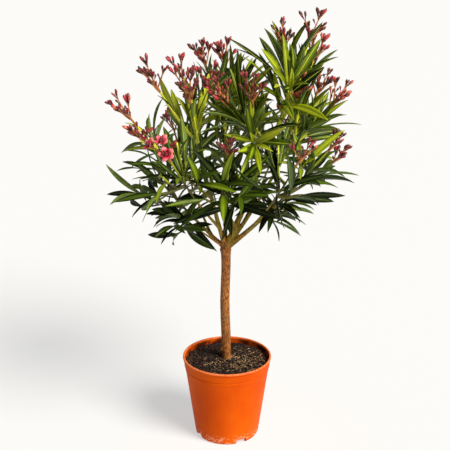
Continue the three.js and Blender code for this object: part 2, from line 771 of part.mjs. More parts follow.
addNode("pot", makePot(), COLOURS.pot);
addNode("soil", makeSoil(trunkSpace), COLOURS.soil);
addNode("trunk", trunk, COLOURS.bark);
for (const row of rows) addNode(`bough_${row.name}`, row.bough, COLOURS.bough);
for (const row of rows) {
  const whole = row.parts.reduce((body, part) => body.add(part));
  const body = largest(whole).simplify(FINISH);
  addNode(`foliage_${row.name}`, body, COLOURS.leaf);
}

export default group;
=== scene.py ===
"""Potted oleander: the looks of a standard with a bare stem and a round crown, in an orange nursery pot.

Metres, +Z up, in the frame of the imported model. The pot, the stem and the growing rule are worked out in
millimetres, as on the bench, and each mesh is scaled to metres when it is made.
"""

import json
import math
from collections import namedtuple

import bmesh
import bpy
import numpy as np
from mathutils import Matrix, Vector, noise

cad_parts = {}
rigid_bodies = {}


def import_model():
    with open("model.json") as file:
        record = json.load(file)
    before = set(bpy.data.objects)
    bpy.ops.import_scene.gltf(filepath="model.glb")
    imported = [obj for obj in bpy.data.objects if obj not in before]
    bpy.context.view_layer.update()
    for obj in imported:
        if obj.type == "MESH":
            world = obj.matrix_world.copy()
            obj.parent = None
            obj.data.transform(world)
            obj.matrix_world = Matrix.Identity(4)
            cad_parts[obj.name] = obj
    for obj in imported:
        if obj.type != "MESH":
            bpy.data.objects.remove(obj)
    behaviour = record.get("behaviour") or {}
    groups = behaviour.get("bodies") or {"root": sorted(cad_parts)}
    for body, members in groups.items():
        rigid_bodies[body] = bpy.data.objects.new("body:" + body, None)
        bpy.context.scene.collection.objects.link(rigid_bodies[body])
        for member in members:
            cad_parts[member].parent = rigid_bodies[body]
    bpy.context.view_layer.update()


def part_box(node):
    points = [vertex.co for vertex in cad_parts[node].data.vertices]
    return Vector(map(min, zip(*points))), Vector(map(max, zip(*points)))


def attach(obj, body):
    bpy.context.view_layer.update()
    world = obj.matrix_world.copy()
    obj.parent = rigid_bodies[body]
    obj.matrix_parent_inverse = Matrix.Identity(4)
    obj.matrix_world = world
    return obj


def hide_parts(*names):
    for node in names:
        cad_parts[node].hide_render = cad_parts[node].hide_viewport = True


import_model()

MM = 0.001
UP = np.array([0.0, 0.0, 1.0])

# Pot, in millimetres
POT_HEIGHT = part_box("pot")[1].z / MM
RIM_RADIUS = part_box("pot")[1].x / MM
BASE_RADIUS = 80.5
WALL = 2.6
LIP_HEIGHT = 6
LIP_WIDTH = 2.4
BAND_HEIGHT = 27
BAND_STEP = 3.4
GROOVE = 0.4
SHOULDER_HEIGHT = 38
SHOULDER_STEP = 0.8
CHAMFER = 1.5
CORNER_ROUND = 1.2
EDGE_ROUND = 12
RING_WIDTH = 8
CHANNEL_RISE = 12
CHANNEL_INNER = 56
FLOOR_ROUND = 4
SLOT_WIDTH = 28
SLOT_HEIGHT = 13
SLOT_ROUND = 3
SLOT_HEADINGS = (297, 207, 117, 27)
POT_SIDES = 160
SHARP_ANGLE = 38

# Compost. A lump has a closeness, a seed and a height, and a pale spot a place, a reach and a strength
SOIL_BELOW_RIM = 15
SOIL_MOUND = 8
SOIL_GAP = 0.3
SOIL_RINGS = 70
SOIL_SIDES = 200
SOIL_FADE = 5
SOIL_LUMPS = ((0.075, 3, 3.4), (0.22, 7, 2.1), (0.7, 1, 0.9))
PALE_SPOTS = ((38, -18, 38, 1), (-10, -50, 45, 0.5))

# Bits strewn on the compost: how many on a square metre, the shares of full size and the colours
Bits = namedtuple("Bits", "name shape where density smallest largest tilt dark light")
BITS = [
    Bits("dark_crumbs", "crumb", "cover", 60000.0, 0.5, 1.5, 0.8, (10, 5, 3), (36, 19, 11)),
    Bits("brown_fibres", "fibre", "cover", 13000.0, 0.4, 1.1, 0.5, (80, 46, 24), (136, 90, 52)),
    Bits("grey_chips", "chip", "cover", 3500.0, 0.4, 1.1, 0.6, (58, 42, 32), (108, 86, 68)),
    Bits("pale_fibres", "fibre", "pale", 42000.0, 0.4, 1.2, 0.7, (152, 112, 70), (222, 188, 140)),
]

# Bare stem: pinched and flared foot, knuckle and dome at the fork, sawn stub, and knot low on the left
FORK_HEIGHT = 492
STEM_SUNK = 3
STEM_FOOT = POT_HEIGHT - SOIL_BELOW_RIM + SOIL_MOUND - STEM_SUNK
STEM_RADIUS = 12
STEM_TAPER = 1
STEM_OFFSET = -4
STEM_WAVE = 1.3
FOOT_SHIFT = 5
FOOT_PINCH = 2.4
FOOT_HEIGHT = 20
FLARE = 3.6
FLARE_HEIGHT = 6
KNUCKLE_SWELL = 2.6
KNUCKLE_HEIGHT = 16
DOME_SUNK = 6
DOME_HEIGHT = 15
DOME_RADIUS = 14
STUB_REACH = np.array([-3.0, 6.0, 26.0])
STUB_RADII = (7, 5)
KNOT_PLACE = 0.09
KNOT_SUNK = 1
KNOT_FORWARD = 2
KNOT_RISE = 5
KNOT_RADII = [1.5, 4, 5, 5, 4, 1.5]

# Bark: the grid that joins stem and boughs, and the relief on them
BARK_GRID = 1.1
RIDGE_HEIGHT = 0.16
LUMP_HEIGHT = 0.24
RING_HEIGHT = 0.16
RING_SPACING = 31
RING_THICKNESS = 1.6
RELIEF_FADE = 4

# A pair that is given to drawn(), further down, holds the least value and what a draw may add to it

# Boughs and shoots: the first half of a growth line is bough, and a leader and side shoots carry it on
BOUGH_SHARE = 0.5
BOUGH_TAPER = 0.42
COLLAR_SWELL = 0.5
COLLAR_LENGTH = 14
LEADER_FOOT = 0.25
LEADER_SHARE = 0.58
SIDE_SHARE = 0.6
SIDE_STEP = 0.07
SIDE_BEND = 0.1
SIDE_JITTER = 24
SIDE_SPREAD = (0.85, 0.3)
SIDE_FOOT = 0.2
SHOOT_RADIUS = 4.0
SHOOT_TIP = 2.3
STALK = 80
STALK_LEAN = 0.0045
NODE_SWELL = 0.07
NODE_SPACING = 3.6

# Young twigs on shoots without flowers
TWIG_PLACES_HIGH = (0.3, 0.58)
TWIG_PLACES_LOW = (0.45,)
TWIG_ANGLE = (38, 18)
TWIG_LENGTH = (42, 30)
TWIG_LIFT = 0.15
TWIG_BEND = 0.08
TWIG_RADIUS = 1.7
TWIG_FOOT = 0.35

# Whorls of leaves along a shoot
WHORL = 3
WHORL_SPACING = 32
WHORL_STAGGER = 5
WHORL_TURN = 60
WHORL_JITTER = 40
BLOOM_SPACING = 1.3
LEAST_WHORLS = 4
YOUNG_WHORLS = 2

# Leaves: size, angles in degrees, and how they lie nearly level low in the crown
LEAF_LENGTH = 158
LEAF_WIDTH = 21
YOUNG_SIZE = 0.72
SIZE_AT_TIP = 0.56
SIZE_WITH_AGE = 0.44
SIZE_PACE = 2.2
SIZE_VARIES = 0.22
WIDTH_LEAST = 0.42
WIDTH_WITH_SIZE = 0.58
WIDTH_VARIES = (0.68, 0.4)
LEAF_OPEN = 8
OPEN_WITH_AGE = 40
OPEN_VARIES = 18
OPEN_LOW = 32
LEAF_JITTER = 24
LEAF_ROLL = 50
ROLL_LOW = 0.4
LEAF_SAG = 0.35
SAG_SHARE = 0.6
LEAF_DROP = 0.08
LEAF_ARCH = (2, 5)
LEVEL_BELOW = 800
LEVEL_FROM = 620
LEVEL_SHARE = 0.7

# Outline of the crown, the bare space under it, and the room that a leaf needs
CROWN_WIDEST = 650
CROWN_REACH = 306
CROWN_FLOOR = 500
CROWN_BOTTOM = 455
CROWN_TOP = 1100
CROWN_LEAN = 0.32
DROOP = 92
BARE_REACH = 80
BARE_HEIGHT = 585
OWN_PLACE = 0.6
SPACE_SLACK = 14
LEAF_ROOM = 12
LOW_BELOW = 690
LOW_ROOM = 1.3
OUTER_FROM = 0.62
OUTER_ROOM = 4.5

# Places along a leaf that keep their distance, and the shares of its length and the turns that it tries
LEAF_MARKS = np.array([0.4, 0.6, 0.8, 1.0])
LEAF_TRIES = ((1, 0), (1, 18), (1, -18), (0.85, 9), (0.7, -9), (0.6, 25))

# Shade of a leaf, in steps of LEAF_TOPS: set by spray, at random and by age, then painted lighter high up,
# on the crown's lit skirt and far out, and painted darker in the shaded middle of the crown
SPRAY_SHADE = (1.9, 1.9)
SHADE_VARIES = 2.8
SHADE_WITH_AGE = 0.8
SHADE_MIDDLE = 730
SHADE_RISE = 70
SHADE_LEAST = -2.1
SHADE_MOST = 1.4
DULL_ABOVE = 840
DULL_RISE = 65
LIT_BELOW = 650
SKIRT_LIGHT = 1.35
OUTER_LIGHT = 2.0
LIT_FROM = 0.75
DARK_EDGES = 0.6
# Above this height the rib and leaf stalk are yellow, partly young growth and partly painted light
YELLOW_ABOVE = 745

# Colour of a shoot by its height, olive low down to yellow high up, partly its own ageing and partly
# painted shade low in the crown and painted light high up, and how much of its flower stalk keeps that
# colour
OLIVE_BELOW = 700
GREEN_BELOW = 750
BARE_FROM = 0.02
STALK_GREEN = 0.65

# Section of a blade: shares of its half width, then how far each point lies under the upper face
BLADE_ACROSS = np.array([-1, -0.52, -0.065, 0.065, 0.52, 1, 0.52, 0.065, -0.065, -0.52])
BLADE_UNDER = np.array([0, 0, 0, 0, 0, 0, 1, 2.4, 2.4, 1])

# Blade of a leaf along its length
LEAF_STATIONS = np.array([0, 0.05, 0.12, 0.22, 0.34, 0.47, 0.6, 0.72, 0.83, 0.93, 1])
LEAF_SHAPE = LEAF_STATIONS**0.95 * (1 - LEAF_STATIONS) ** 0.9
LEAF_LEAST = np.where(LEAF_STATIONS < 0.5, 1.1, 0.12)
LEAF_THICKNESS = 0.32 + 0.5 * np.exp(-LEAF_STATIONS / 0.06)
LEAF_FOOT = 1.5
LEAF_FOLD = (0.12, 0.4)
LEAF_TWIST = 1.5
ARCH_MORE = 4
BLADE_SAG = 0.02
BLADE_SAG_MORE = 0.05
BLADE_SAG_WITH_AGE = 0.1

# Buds: places and half widths along a bud and along the cup at its foot, and ridges round the bud
BUD_SHARES = np.array([0, 0.08, 0.2, 0.36, 0.52, 0.68, 0.84, 0.95, 1])
BUD_SHAPE = np.array([0.34, 0.42, 0.5, 0.72, 0.95, 1, 0.72, 0.34, 0.06])
BUD_RIDGES = np.where(np.arange(10) % 2, 0.86, 1.06)
BUD_TWIST = 0.28
BUD_TIP_RING = 6
BUD_LENGTH = 20
BUD_RADIUS = 3.7
CUP_PLACES = np.array([-1.5, 0, 2.5, 4.5])
CUP_SHAPE = np.array([0.25, 0.46, 0.56, 0.5])
STALK_TAPER = 0.25

# Flower heads: rays from the top of a stalk, each with a fork of buds at its end and one bud beside it
RAYS = 6
LOW_RAYS = 4
SMALL_HEADS_BELOW = 790
RAY = 30
RAY_VARIES = (0.7, 0.5)
RAY_START = 1.5
RAY_STEP = 6
RAY_RADIUS = 2.0
RAY_BEND = 0.1
RAY_JITTER = 60
RAY_LEAN = (0.5, 0.5)
FIRST_LEAN = 0.12
FORK_BUDS = 5
FORK_JITTER = 70
FORK_RISE = 0.25
FORK_OUT = (0.35, 0.4)
FORK_AHEAD = 1.3
FIRST_AHEAD = 2.2
FORK_STALK = 9
FORK_VARIES = (0.6, 0.8)
FORK_RADIUS = 1.4
BROWN_STALKS = 0.4
BUD_SIZE = (0.75, 0.4)
SMALL_BUD = (0.6, 0.35)
RIPE_SIZE = 0.75
SIDE_BUD_PLACE = 0.6
SIDE_BUD_TURN = 2
SIDE_BUD_RISE = 0.5
SIDE_BUD_LENGTH = 0.55
SIDE_BUD_WIDTH = 0.62
SIDE_STALK = 7
SIDE_STALK_RADIUS = 0.85

# Open flowers: a funnel throat and five petals, and how many the first head of a mass has
OPEN_FLOWERS = {"front_left": 3, "back_right": 1}
FLOWER_SIZE = 0.9
THROAT_PLACES = np.array([0, 5, 11, 15])
THROAT_RADII = np.array([1.4, 1.8, 3.2, 5.0])
PETALS = 5
PETAL_JITTER = 0.4
PETAL_SPREAD = (0.45, 0.3)
PETAL_LENGTH = 19
PETAL_HALF_WIDTH = 8.5
PETAL_UP = 13
PETAL_OUT = 3
PETAL_STATIONS = np.linspace(0, 1, 7)
PETAL_SHAPE = np.sin(math.pi * (0.12 + 0.8 * PETAL_STATIONS)) ** 0.7
PETAL_THICKNESS = np.full(7, 0.3)
PETAL_TIP_RING = 3

# Stage: the floor's half width in metres, and how strong the light is and where it comes from
FLOOR = 150
FLOOR_GLOW = 0.52
DAYLIGHT = 0.16
SUN_STRENGTH = 5.2
SUN_SPREAD = 30
SUN_COLOUR = (1, 0.97, 0.9)
SUN_FROM = (1.05, -0.95, 1.25)

# Camera: where it stands, in metres, how far it looks down, and its focal length in pixels of the frame
CAMERA_PLACE = (-0.005, -2.225, 1.30)
CAMERA_DOWN = 18.6
FOCAL_PIXELS = 985
FRAME_PIXELS = 450
SENSOR_WIDTH = 36

# One row for each bough and the mass at its end: what it springs from and how far along, the heading, reach
# and height of its tip, its bend and radius, how far its side shoots spread and how they are turned, the
# length of each shoot's flower stalk, the size of its leaves, and its seed
Row = namedtuple("Row", "name parent share heading reach height bend radius spread turn bloom leaf seed")
GROWTH = [
    Row("left_tall", "fork", 1, 213, 84, 830, 0.08, 6.2, 50, 30, (1.2, 1, 1.1, 0.8), 1, 11),
    Row("left_wide", "fork", 1, 176, 170, 672, 0.06, 5.4, 58, 80, (0, 0, 0, 0), 1, 12),
    Row("left_low", "fork", 1, 194, 126, 586, -0.02, 3.4, 54, 20, (0, 0, 0), 0.72, 13),
    Row("centre", "fork", 1, 4, 136, 912, 0.06, 8.2, 42, 60, (1.35, 0.85, 0, 0.8), 1, 14),
    Row("right_wide", "fork", 1, 350, 194, 700, 0.08, 6.8, 56, 40, (0.9, 0.7, 0), 0.95, 15),
    Row("right_tall", "fork", 1, 2, 162, 812, 0.1, 5.8, 44, 0, (1.1, 0, 1, 0.7), 0.9, 16),
    Row("right_low", "fork", 1, 8, 134, 598, 0, 3.2, 52, 45, (0, 0, 0), 0.74, 17),
    Row("back", "fork", 1, 92, 180, 740, 0.08, 5.4, 56, 0, (0.9, 0, 0, 0), 1, 18),
    Row("top_left", "back", 0.35, 92, 70, 852, 0.04, 4, 46, 15, (1.1, 1, 0, 0), 0.95, 19),
    Row("left_outer", "left_tall", 0.7, 208, 184, 770, 0.1, 3.4, 30, 200, (1.3, 0, 0.6), 0.85, 27),
    Row("front_left", "left_tall", 0.3, 236, 176, 704, 0.08, 3.8, 52, 10, (1.1, 0, 0, 0), 1, 20),
    Row("front_high", "centre", 0.62, 296, 90, 800, 0.08, 3.8, 48, 70, (1.2, 0, 1.1, 0), 1, 21),
    Row("front", "centre", 0.24, 266, 164, 690, 0.1, 3.6, 50, 30, (0, 0, 0, 0.5), 1, 22),
    Row("front_right", "right_wide", 0.36, 310, 182, 690, 0.1, 3.8, 52, 50, (1.25, 0, 0, 0), 1, 23),
    Row("back_left", "left_wide", 0.42, 128, 176, 700, 0.1, 3.6, 56, 20, (0.9, 0, 0), 1, 24),
    Row("back_right", "right_tall", 0.34, 50, 180, 706, 0.1, 3.8, 56, 0, (1, 0, 0), 1, 25),
    Row("back_low", "back", 0.2, 88, 170, 632, 0.08, 3.4, 56, 10, (0, 0, 0), 0.9, 26),
]


def unit(arrow):
    return arrow / np.linalg.norm(arrow, axis=-1, keepdims=True)


def seeded(seed):
    """A repeatable run of numbers from 0 to 1."""
    state = seed

    def draw():
        nonlocal state
        state = (state * 1664525 + 1013904223) & 0xFFFFFFFF
        return state / 2**32

    return draw


def drawn(pair, draw):
    """The first number of a pair and up to the second more."""
    least, more = pair
    return least + more * draw()


def ramp(value, start, end):
    """0 at start, 1 at end and straight between them."""
    return min(1, max(0, (value - start) / (end - start)))


def polar(heading, reach, height):
    turn = math.radians(heading)
    return np.array([reach * math.cos(turn), reach * math.sin(turn), height])


class Line:
    """A growth line from start to end. Its middle is lowered by bend, so it turns up towards its end."""

    def __init__(self, start, end, bend, begin=0.0):
        span = end - start
        whole = np.linalg.norm(span)
        side = np.cross(UP, span)
        self.side = unit(side) if np.linalg.norm(side) >= 1 else np.array([1.0, 0.0, 0.0])
        self.start, self.end, self.bend, self.begin = start, end, bend, begin
        self.middle = start + span / 2 - UP * bend * whole
        self.length = whole * (1 - begin)

    def along(self, share):
        return (self.begin + (1 - self.begin) * np.asarray(share, float))[..., None]

    def point(self, share):
        t = self.along(share)
        return (1 - t) ** 2 * self.start + 2 * t * (1 - t) * self.middle + t**2 * self.end

    def tangent(self, share):
        t = np.clip(self.along(share), 0, 1)
        return unit((1 - t) * (self.middle - self.start) + t * (self.end - self.middle))

    def rest(self, begin):
        return Line(self.start, self.end, self.bend, begin)

    def beside(self, share, turn):
        """The direction square to the line at share, turned round it."""
        third = np.cross(self.side, self.tangent(share))
        return self.side * math.cos(turn) + third * math.sin(turn)

    def leaving(self, share, turn, angle):
        """The direction that leaves the line at share by an angle, turned round it."""
        return self.tangent(share) * math.cos(angle) + math.sin(angle) * self.beside(share, turn)


def stem_point(share):
    rise = FORK_HEIGHT - STEM_FOOT
    foot = np.exp(-share * rise / FOOT_HEIGHT)
    return np.stack([
        STEM_OFFSET + FOOT_SHIFT * foot + STEM_WAVE * np.sin(share * 9),
        STEM_WAVE * np.sin(share * 7 + 1),
        STEM_FOOT + rise * share,
    ], axis=-1)


def stem_radius(share):
    above = share * (FORK_HEIGHT - STEM_FOOT)
    below = (1 - share) * (FORK_HEIGHT - STEM_FOOT)
    return (
        STEM_RADIUS
        - STEM_TAPER * share
        - FOOT_PINCH * np.exp(-above / FOOT_HEIGHT)
        + FLARE * np.exp(-above / FLARE_HEIGHT)
        + KNUCKLE_SWELL * np.exp(-below / KNUCKLE_HEIGHT)
    )


FORK = stem_point(np.array(1.0))


def stalk_top(tip, bloom):
    lean = unit(np.array([tip[0] * STALK_LEAN, tip[1] * STALK_LEAN, 1]))
    return tip + lean * STALK * bloom


Shoot = namedtuple("Shoot", "line bloom radius foot leaf_top young")


def bough_lines():
    lines = {}
    for row in GROWTH:
        start = FORK if row.parent == "fork" else lines[row.parent].point(row.share * BOUGH_SHARE)
        tip = polar(row.heading, row.reach, row.height)
        lines[row.name] = Line(start, stalk_top(tip, row.bloom[0]), row.bend)
    return lines


def main_shoots(row, line, draw):
    """The leader runs on from the bough, and side shoots leave the line above it and fan out round it."""
    tip = polar(row.heading, row.reach, row.height)
    leader = line.rest(BOUGH_SHARE)
    shoots = [Shoot(leader, row.bloom[0], row.radius * LEADER_SHARE, LEADER_FOOT, 0, False)]
    others = row.bloom[1:]
    for k, bloom in enumerate(others):
        begin = SIDE_SHARE + SIDE_STEP * k
        around = math.radians(row.turn + 360 / len(others) * k + SIDE_JITTER * (draw() - 0.5))
        end = tip + row.spread * drawn(SIDE_SPREAD, draw) * line.beside(begin, around)
        end = end + line.tangent(begin) * SIDE_JITTER * (draw() - 0.5)
        side = Line(line.point(begin), stalk_top(end, bloom), SIDE_BEND)
        shoots.append(Shoot(side, bloom, SHOOT_RADIUS, SIDE_FOOT, 0, False))
    return [shoot._replace(leaf_top=1 - STALK * shoot.bloom / shoot.line.length) for shoot in shoots]


def finer_twigs(row, shoots, draw):
    """Short young twigs on each shoot without flowers, two of them high in the crown and one low down."""
    twigs = []
    for shoot in shoots:
        if shoot.bloom:
            continue
        line = shoot.line
        high = line.point(0.5)[2] > CROWN_WIDEST
        for share in TWIG_PLACES_HIGH if high else TWIG_PLACES_LOW:
            around = 2 * math.pi * draw()
            aim = line.leaving(share, around, math.radians(drawn(TWIG_ANGLE, draw)))
            length = drawn(TWIG_LENGTH, draw) * row.leaf
            start = line.point(share)
            twig = Line(start, start + aim * length + UP * TWIG_LIFT * length, TWIG_BEND)
            twigs.append(Shoot(twig, 0, TWIG_RADIUS, TWIG_FOOT, 1, True))
    return twigs


Leaf = namedtuple("Leaf", "root tangent aim across length width arch age rank spray")


def leaf_at(shoot, scale, share, age, turn, draw):
    """Directions, size and arch of a leaf. Leaves open with age, and lie nearly level low in the crown."""
    line = shoot.line
    tangent = line.tangent(share)
    around = math.radians(turn + LEAF_JITTER * (draw() - 0.5))
    low = ramp(line.point(share)[2], LEVEL_BELOW, LEVEL_FROM)
    angle = math.radians(LEAF_OPEN + OPEN_WITH_AGE * age + OPEN_VARIES * draw() + OPEN_LOW * low)
    aim = line.leaving(share, around, angle) * np.array([1, 1, 1 - LEVEL_SHARE * low])
    aim = unit(aim - UP * LEAF_SAG * age * draw() * SAG_SHARE)
    across = unit(np.cross(tangent, aim))
    roll = math.radians(LEAF_ROLL * (1 - ROLL_LOW * low) * (draw() - 0.5))
    across = across * math.cos(roll) + np.cross(aim, across) * math.sin(roll)
    size = SIZE_AT_TIP + SIZE_WITH_AGE * min(1, SIZE_PACE * age) + SIZE_VARIES * draw()
    size = scale * size * (YOUNG_SIZE if shoot.young else 1)
    width = LEAF_WIDTH * (WIDTH_LEAST + WIDTH_WITH_SIZE * size) * drawn(WIDTH_VARIES, draw)
    return tangent, aim, across, LEAF_LENGTH * size, width, drawn(LEAF_ARCH, draw)


def leaves_of(shoot, scale, spray, draw):
    """Whorls of three leaves from a shoot's tip down, longer and more open towards its foot."""
    leaves = []
    reach = shoot.leaf_top - shoot.foot
    spacing = WHORL_SPACING * (BLOOM_SPACING if shoot.bloom else 1)
    least = YOUNG_WHORLS if shoot.young else LEAST_WHORLS
    whorls = max(least, round(shoot.line.length * reach / spacing))
    for rank in range(whorls):
        age = rank / whorls
        share = shoot.leaf_top - reach * age
        turn = WHORL_TURN * rank + WHORL_JITTER * draw()
        for j in range(WHORL):
            shape = leaf_at(shoot, scale, share, age, turn + 360 / WHORL * j, draw)
            root = shoot.line.point(share - WHORL_STAGGER * j / shoot.line.length)
            leaves.append(Leaf(root, *shape, age, rank, spray))
    return leaves


def outness(place):
    """How far out a place is: 0 on the crown's axis and 1 at its outline."""
    above = place[2] - CROWN_WIDEST
    share = above / (CROWN_TOP - CROWN_WIDEST) if above > 0 else above / (CROWN_WIDEST - CROWN_BOTTOM)
    reach = CROWN_REACH * math.sqrt(max(0.001, 1 - share * share))
    return math.hypot(place[0] - CROWN_LEAN * max(0, above), place[1]) / reach


class Crown:
    """The whole crown: the shoots of each mass, and its leaves, grown clear of one another."""

    def __init__(self):
        self.lines = bough_lines()
        self.shoots = {}
        self.draws = {}
        for row in GROWTH:
            draw = self.draws[row.name] = seeded(row.seed)
            main = main_shoots(row, self.lines[row.name], draw)
            self.shoots[row.name] = main + finer_twigs(row, main, draw)
        self.marks = {
            name: np.concatenate([shoot.line.point([0, 0.5, 1]) for shoot in shoots if not shoot.young])
            for name, shoots in self.shoots.items()
        }
        limbs = [line.point(np.linspace(0, BOUGH_SHARE, 24)) for line in self.lines.values()]
        self.taken = np.concatenate(limbs)
        self.leaves = {row.name: [] for row in GROWTH}
        self.grow_leaves()

    def nearness(self, name, place):
        return np.linalg.norm(self.marks[name] - place, axis=1).min()

    def own_space(self, row, leaf):
        """Whether a leaf stays in the crown, off the bare stem, and near its own mass."""
        place = leaf.root + leaf.aim * leaf.length * OWN_PLACE
        tip = leaf.root + leaf.aim * leaf.length - UP * leaf.length * LEAF_DROP
        if tip[2] < max(CROWN_FLOOR, row.height - DROOP) or outness(tip) > 1:
            return False
        if tip[2] < BARE_HEIGHT and math.hypot(tip[0], tip[1]) < BARE_REACH:
            return False
        own = self.nearness(row.name, place)
        return all(self.nearness(other.name, place) > own - SPACE_SLACK for other in GROWTH)

    def has_room(self, places):
        """Whether places along a leaf keep their distance, which is larger low down and far out."""
        gaps = np.linalg.norm(self.taken[None] - places[:, None], axis=2)
        tip = places[-1]
        out = outness(tip)
        low = ramp(tip[2], LOW_BELOW, CROWN_FLOOR)
        more = 1 + LOW_ROOM * low * out**2 + OUTER_ROOM * max(0, out - OUTER_FROM)
        return gaps.min() > LEAF_ROOM * more

    def grow_leaves(self):
        """Leaves grow whorl by whorl from the tips down, and those of young twigs last."""
        waiting = []
        for row in GROWTH:
            for spray, shoot in enumerate(self.shoots[row.name]):
                for leaf in leaves_of(shoot, row.leaf, spray, self.draws[row.name]):
                    waiting.append((shoot.young, leaf.rank, row, leaf))
        waiting.sort(key=lambda each: each[:2])
        for _, _, row, leaf in waiting:
            self.grow(row, leaf)

    def grow(self, row, leaf):
        """Tries a leaf at full length, then turned and then shorter, and keeps the first that fits."""
        for share, turn in LEAF_TRIES:
            tried = turned_leaf(leaf, share, math.radians(turn))
            places = tried.root + tried.aim * tried.length * LEAF_MARKS[:, None]
            if self.own_space(row, tried) and self.has_room(places):
                self.taken = np.concatenate([self.taken, places])
                self.leaves[row.name].append(tried)
                return


def rotated(arrow, axis, turn):
    axis = unit(axis)
    parallel = axis * np.dot(axis, arrow)
    return parallel + (arrow - parallel) * math.cos(turn) + np.cross(axis, arrow) * math.sin(turn)


def turned_leaf(leaf, share, turn):
    return leaf._replace(
        aim=rotated(leaf.aim, leaf.tangent, turn),
        across=rotated(leaf.across, leaf.tangent, turn),
        length=leaf.length * share,
        width=leaf.width * math.sqrt(share),
    )


def feed(tree, socket, value):
    """Gives an input a plain value, or links it to the output that makes its value."""
    if isinstance(value, Value):
        value = value.socket
    if isinstance(value, bpy.types.NodeSocket):
        tree.links.new(value, socket)
    else:
        socket.default_value = value


def add_node(tree, kind, settings, inputs):
    """Adds a node with its settings and inputs, and gives its outputs."""
    made = tree.nodes.new(kind)
    for name, value in settings.items():
        setattr(made, name, value)
    for socket, value in inputs.items():
        feed(tree, made.inputs[socket], value)
    return made.outputs


class Value:
    """A number that varies over a surface. Sums and products of it add the Math nodes that they need."""

    def __init__(self, finish, socket):
        self.finish = finish
        self.socket = socket

    def math(self, operation, *values):
        return self.finish.node("ShaderNodeMath", {"operation": operation}, dict(enumerate(values)))

    def __add__(self, other):
        return self.math("ADD", self, other)

    def __radd__(self, other):
        return self.math("ADD", other, self)

    def __rsub__(self, other):
        return self.math("SUBTRACT", other, self)

    def __mul__(self, other):
        return self.math("MULTIPLY", self, other)

    def __rmul__(self, other):
        return self.math("MULTIPLY", other, self)

    def step(self, low, high):
        """0 below low, 1 above high and smooth between them."""
        settings = {"interpolation_type": "SMOOTHSTEP"}
        return self.finish.node("ShaderNodeMapRange", settings, {0: self, 1: low, 2: high})


def linear(colour):
    """Linear RGBA of a colour given as 0 to 255 values."""
    shares = [value / 255 for value in colour]
    return [s / 12.92 if s < 0.04045 else ((s + 0.055) / 1.055) ** 2.4 for s in shares] + [1]


class Finish:
    """A material under construction, with a method for each kind of pattern."""

    def __init__(self, name, colour, roughness, gloss=0.5):
        self.material = bpy.data.materials.new(name)
        self.material.use_nodes = True
        self.tree = self.material.node_tree
        self.surface = self.tree.nodes["Principled BSDF"]
        self.give("Base Color", linear(colour))
        self.give("Roughness", roughness)
        self.give("Specular IOR Level", gloss)

    def give(self, socket, value):
        feed(self.tree, self.surface.inputs[socket], value)

    def node(self, kind, settings, inputs, output=0):
        return Value(self, add_node(self.tree, kind, settings, inputs)[output])

    def place(self, scale=(1, 1, 1)):
        where = self.node("ShaderNodeTexCoord", {}, {}, "Object")
        return self.node("ShaderNodeMapping", {}, {"Vector": where, "Scale": scale})

    def part(self, axis):
        return self.node("ShaderNodeSeparateXYZ", {}, {0: self.place()}, axis)

    def noise(self, scale, stretch=(1, 1, 1), detail=3):
        inputs = {"Vector": self.place(stretch), "Scale": scale, "Detail": detail}
        return self.node("ShaderNodeTexNoise", {}, inputs)

    def cells(self, scale, stretch=(1, 1, 1)):
        return self.node("ShaderNodeTexVoronoi", {}, {"Vector": self.place(stretch), "Scale": scale})

    def mix(self, share, first, second):
        """A colour between two, each given as 0 to 255 values or as a mix."""
        first, second = (linear(each) if isinstance(each, tuple) else each for each in (first, second))
        return self.node("ShaderNodeMix", {"data_type": "RGBA"}, {0: share, 6: first, 7: second}, 2)

    def relief(self, height, distance, strength):
        inputs = {"Height": height, "Distance": distance, "Strength": strength}
        self.give("Normal", self.node("ShaderNodeBump", {}, inputs))


def pot_plastic():
    """Orange plastic: pale on the lip, scuffed at the foot, streaked on the wall, and darkened inside by
    painted shade with some soil stain.
    """
    finish = Finish("orange_plastic", (206, 80, 0), 0.5, 0.05)
    height = finish.part(2)
    top = POT_HEIGHT * MM
    wall = RIM_RADIUS * MM
    broad = finish.noise(9)
    fine = finish.noise(160, detail=4)
    colour = finish.mix(broad.step(0.3, 0.7), (198, 70, 0), (213, 87, 0))
    lip = height.step(top - 0.0042, top - 0.0022) * fine.step(0.25, 0.6)
    colour = finish.mix(lip * 0.75, colour, (238, 138, 86))
    streaks = finish.noise(40, stretch=(1, 1, 0.12), detail=4).step(0.58, 0.74)
    colour = finish.mix(streaks * 0.22, colour, (218, 88, 24))
    low = 1 - height.step(0.008, 0.034)
    scuffs = low * finish.noise(130, stretch=(1, 1, 1.4), detail=6).step(0.47, 0.62)
    colour = finish.mix(scuffs * 0.72, colour, (242, 170, 130))
    across = finish.part(0)
    deep = finish.part(1)
    reach = finish.node("ShaderNodeMath", {"operation": "SQRT"}, {0: across * across + deep * deep})
    inside = (1 - reach.step(wall - 0.0047, wall - 0.0038)) * height.step(0.186, 0.19)
    # Painted shade on the inner wall, with some soil stain: darkest from a little under the rim down to the
    # compost, and patchy
    inner_shade_and_stain = inside * (1 - height.step(top - 0.008, top - 0.001) * 0.7)
    patchy = 0.35 + 0.6 * finish.noise(30, detail=5).step(0.42, 0.56)
    colour = finish.mix(inner_shade_and_stain * patchy, colour, (44, 14, 4))
    finish.give("Base Color", colour)
    finish.give("Roughness", 0.44 + fine * 0.16 + scuffs * 0.15)
    finish.relief(fine + scuffs * 0.6, 0.0002, 0.5)
    return finish.material


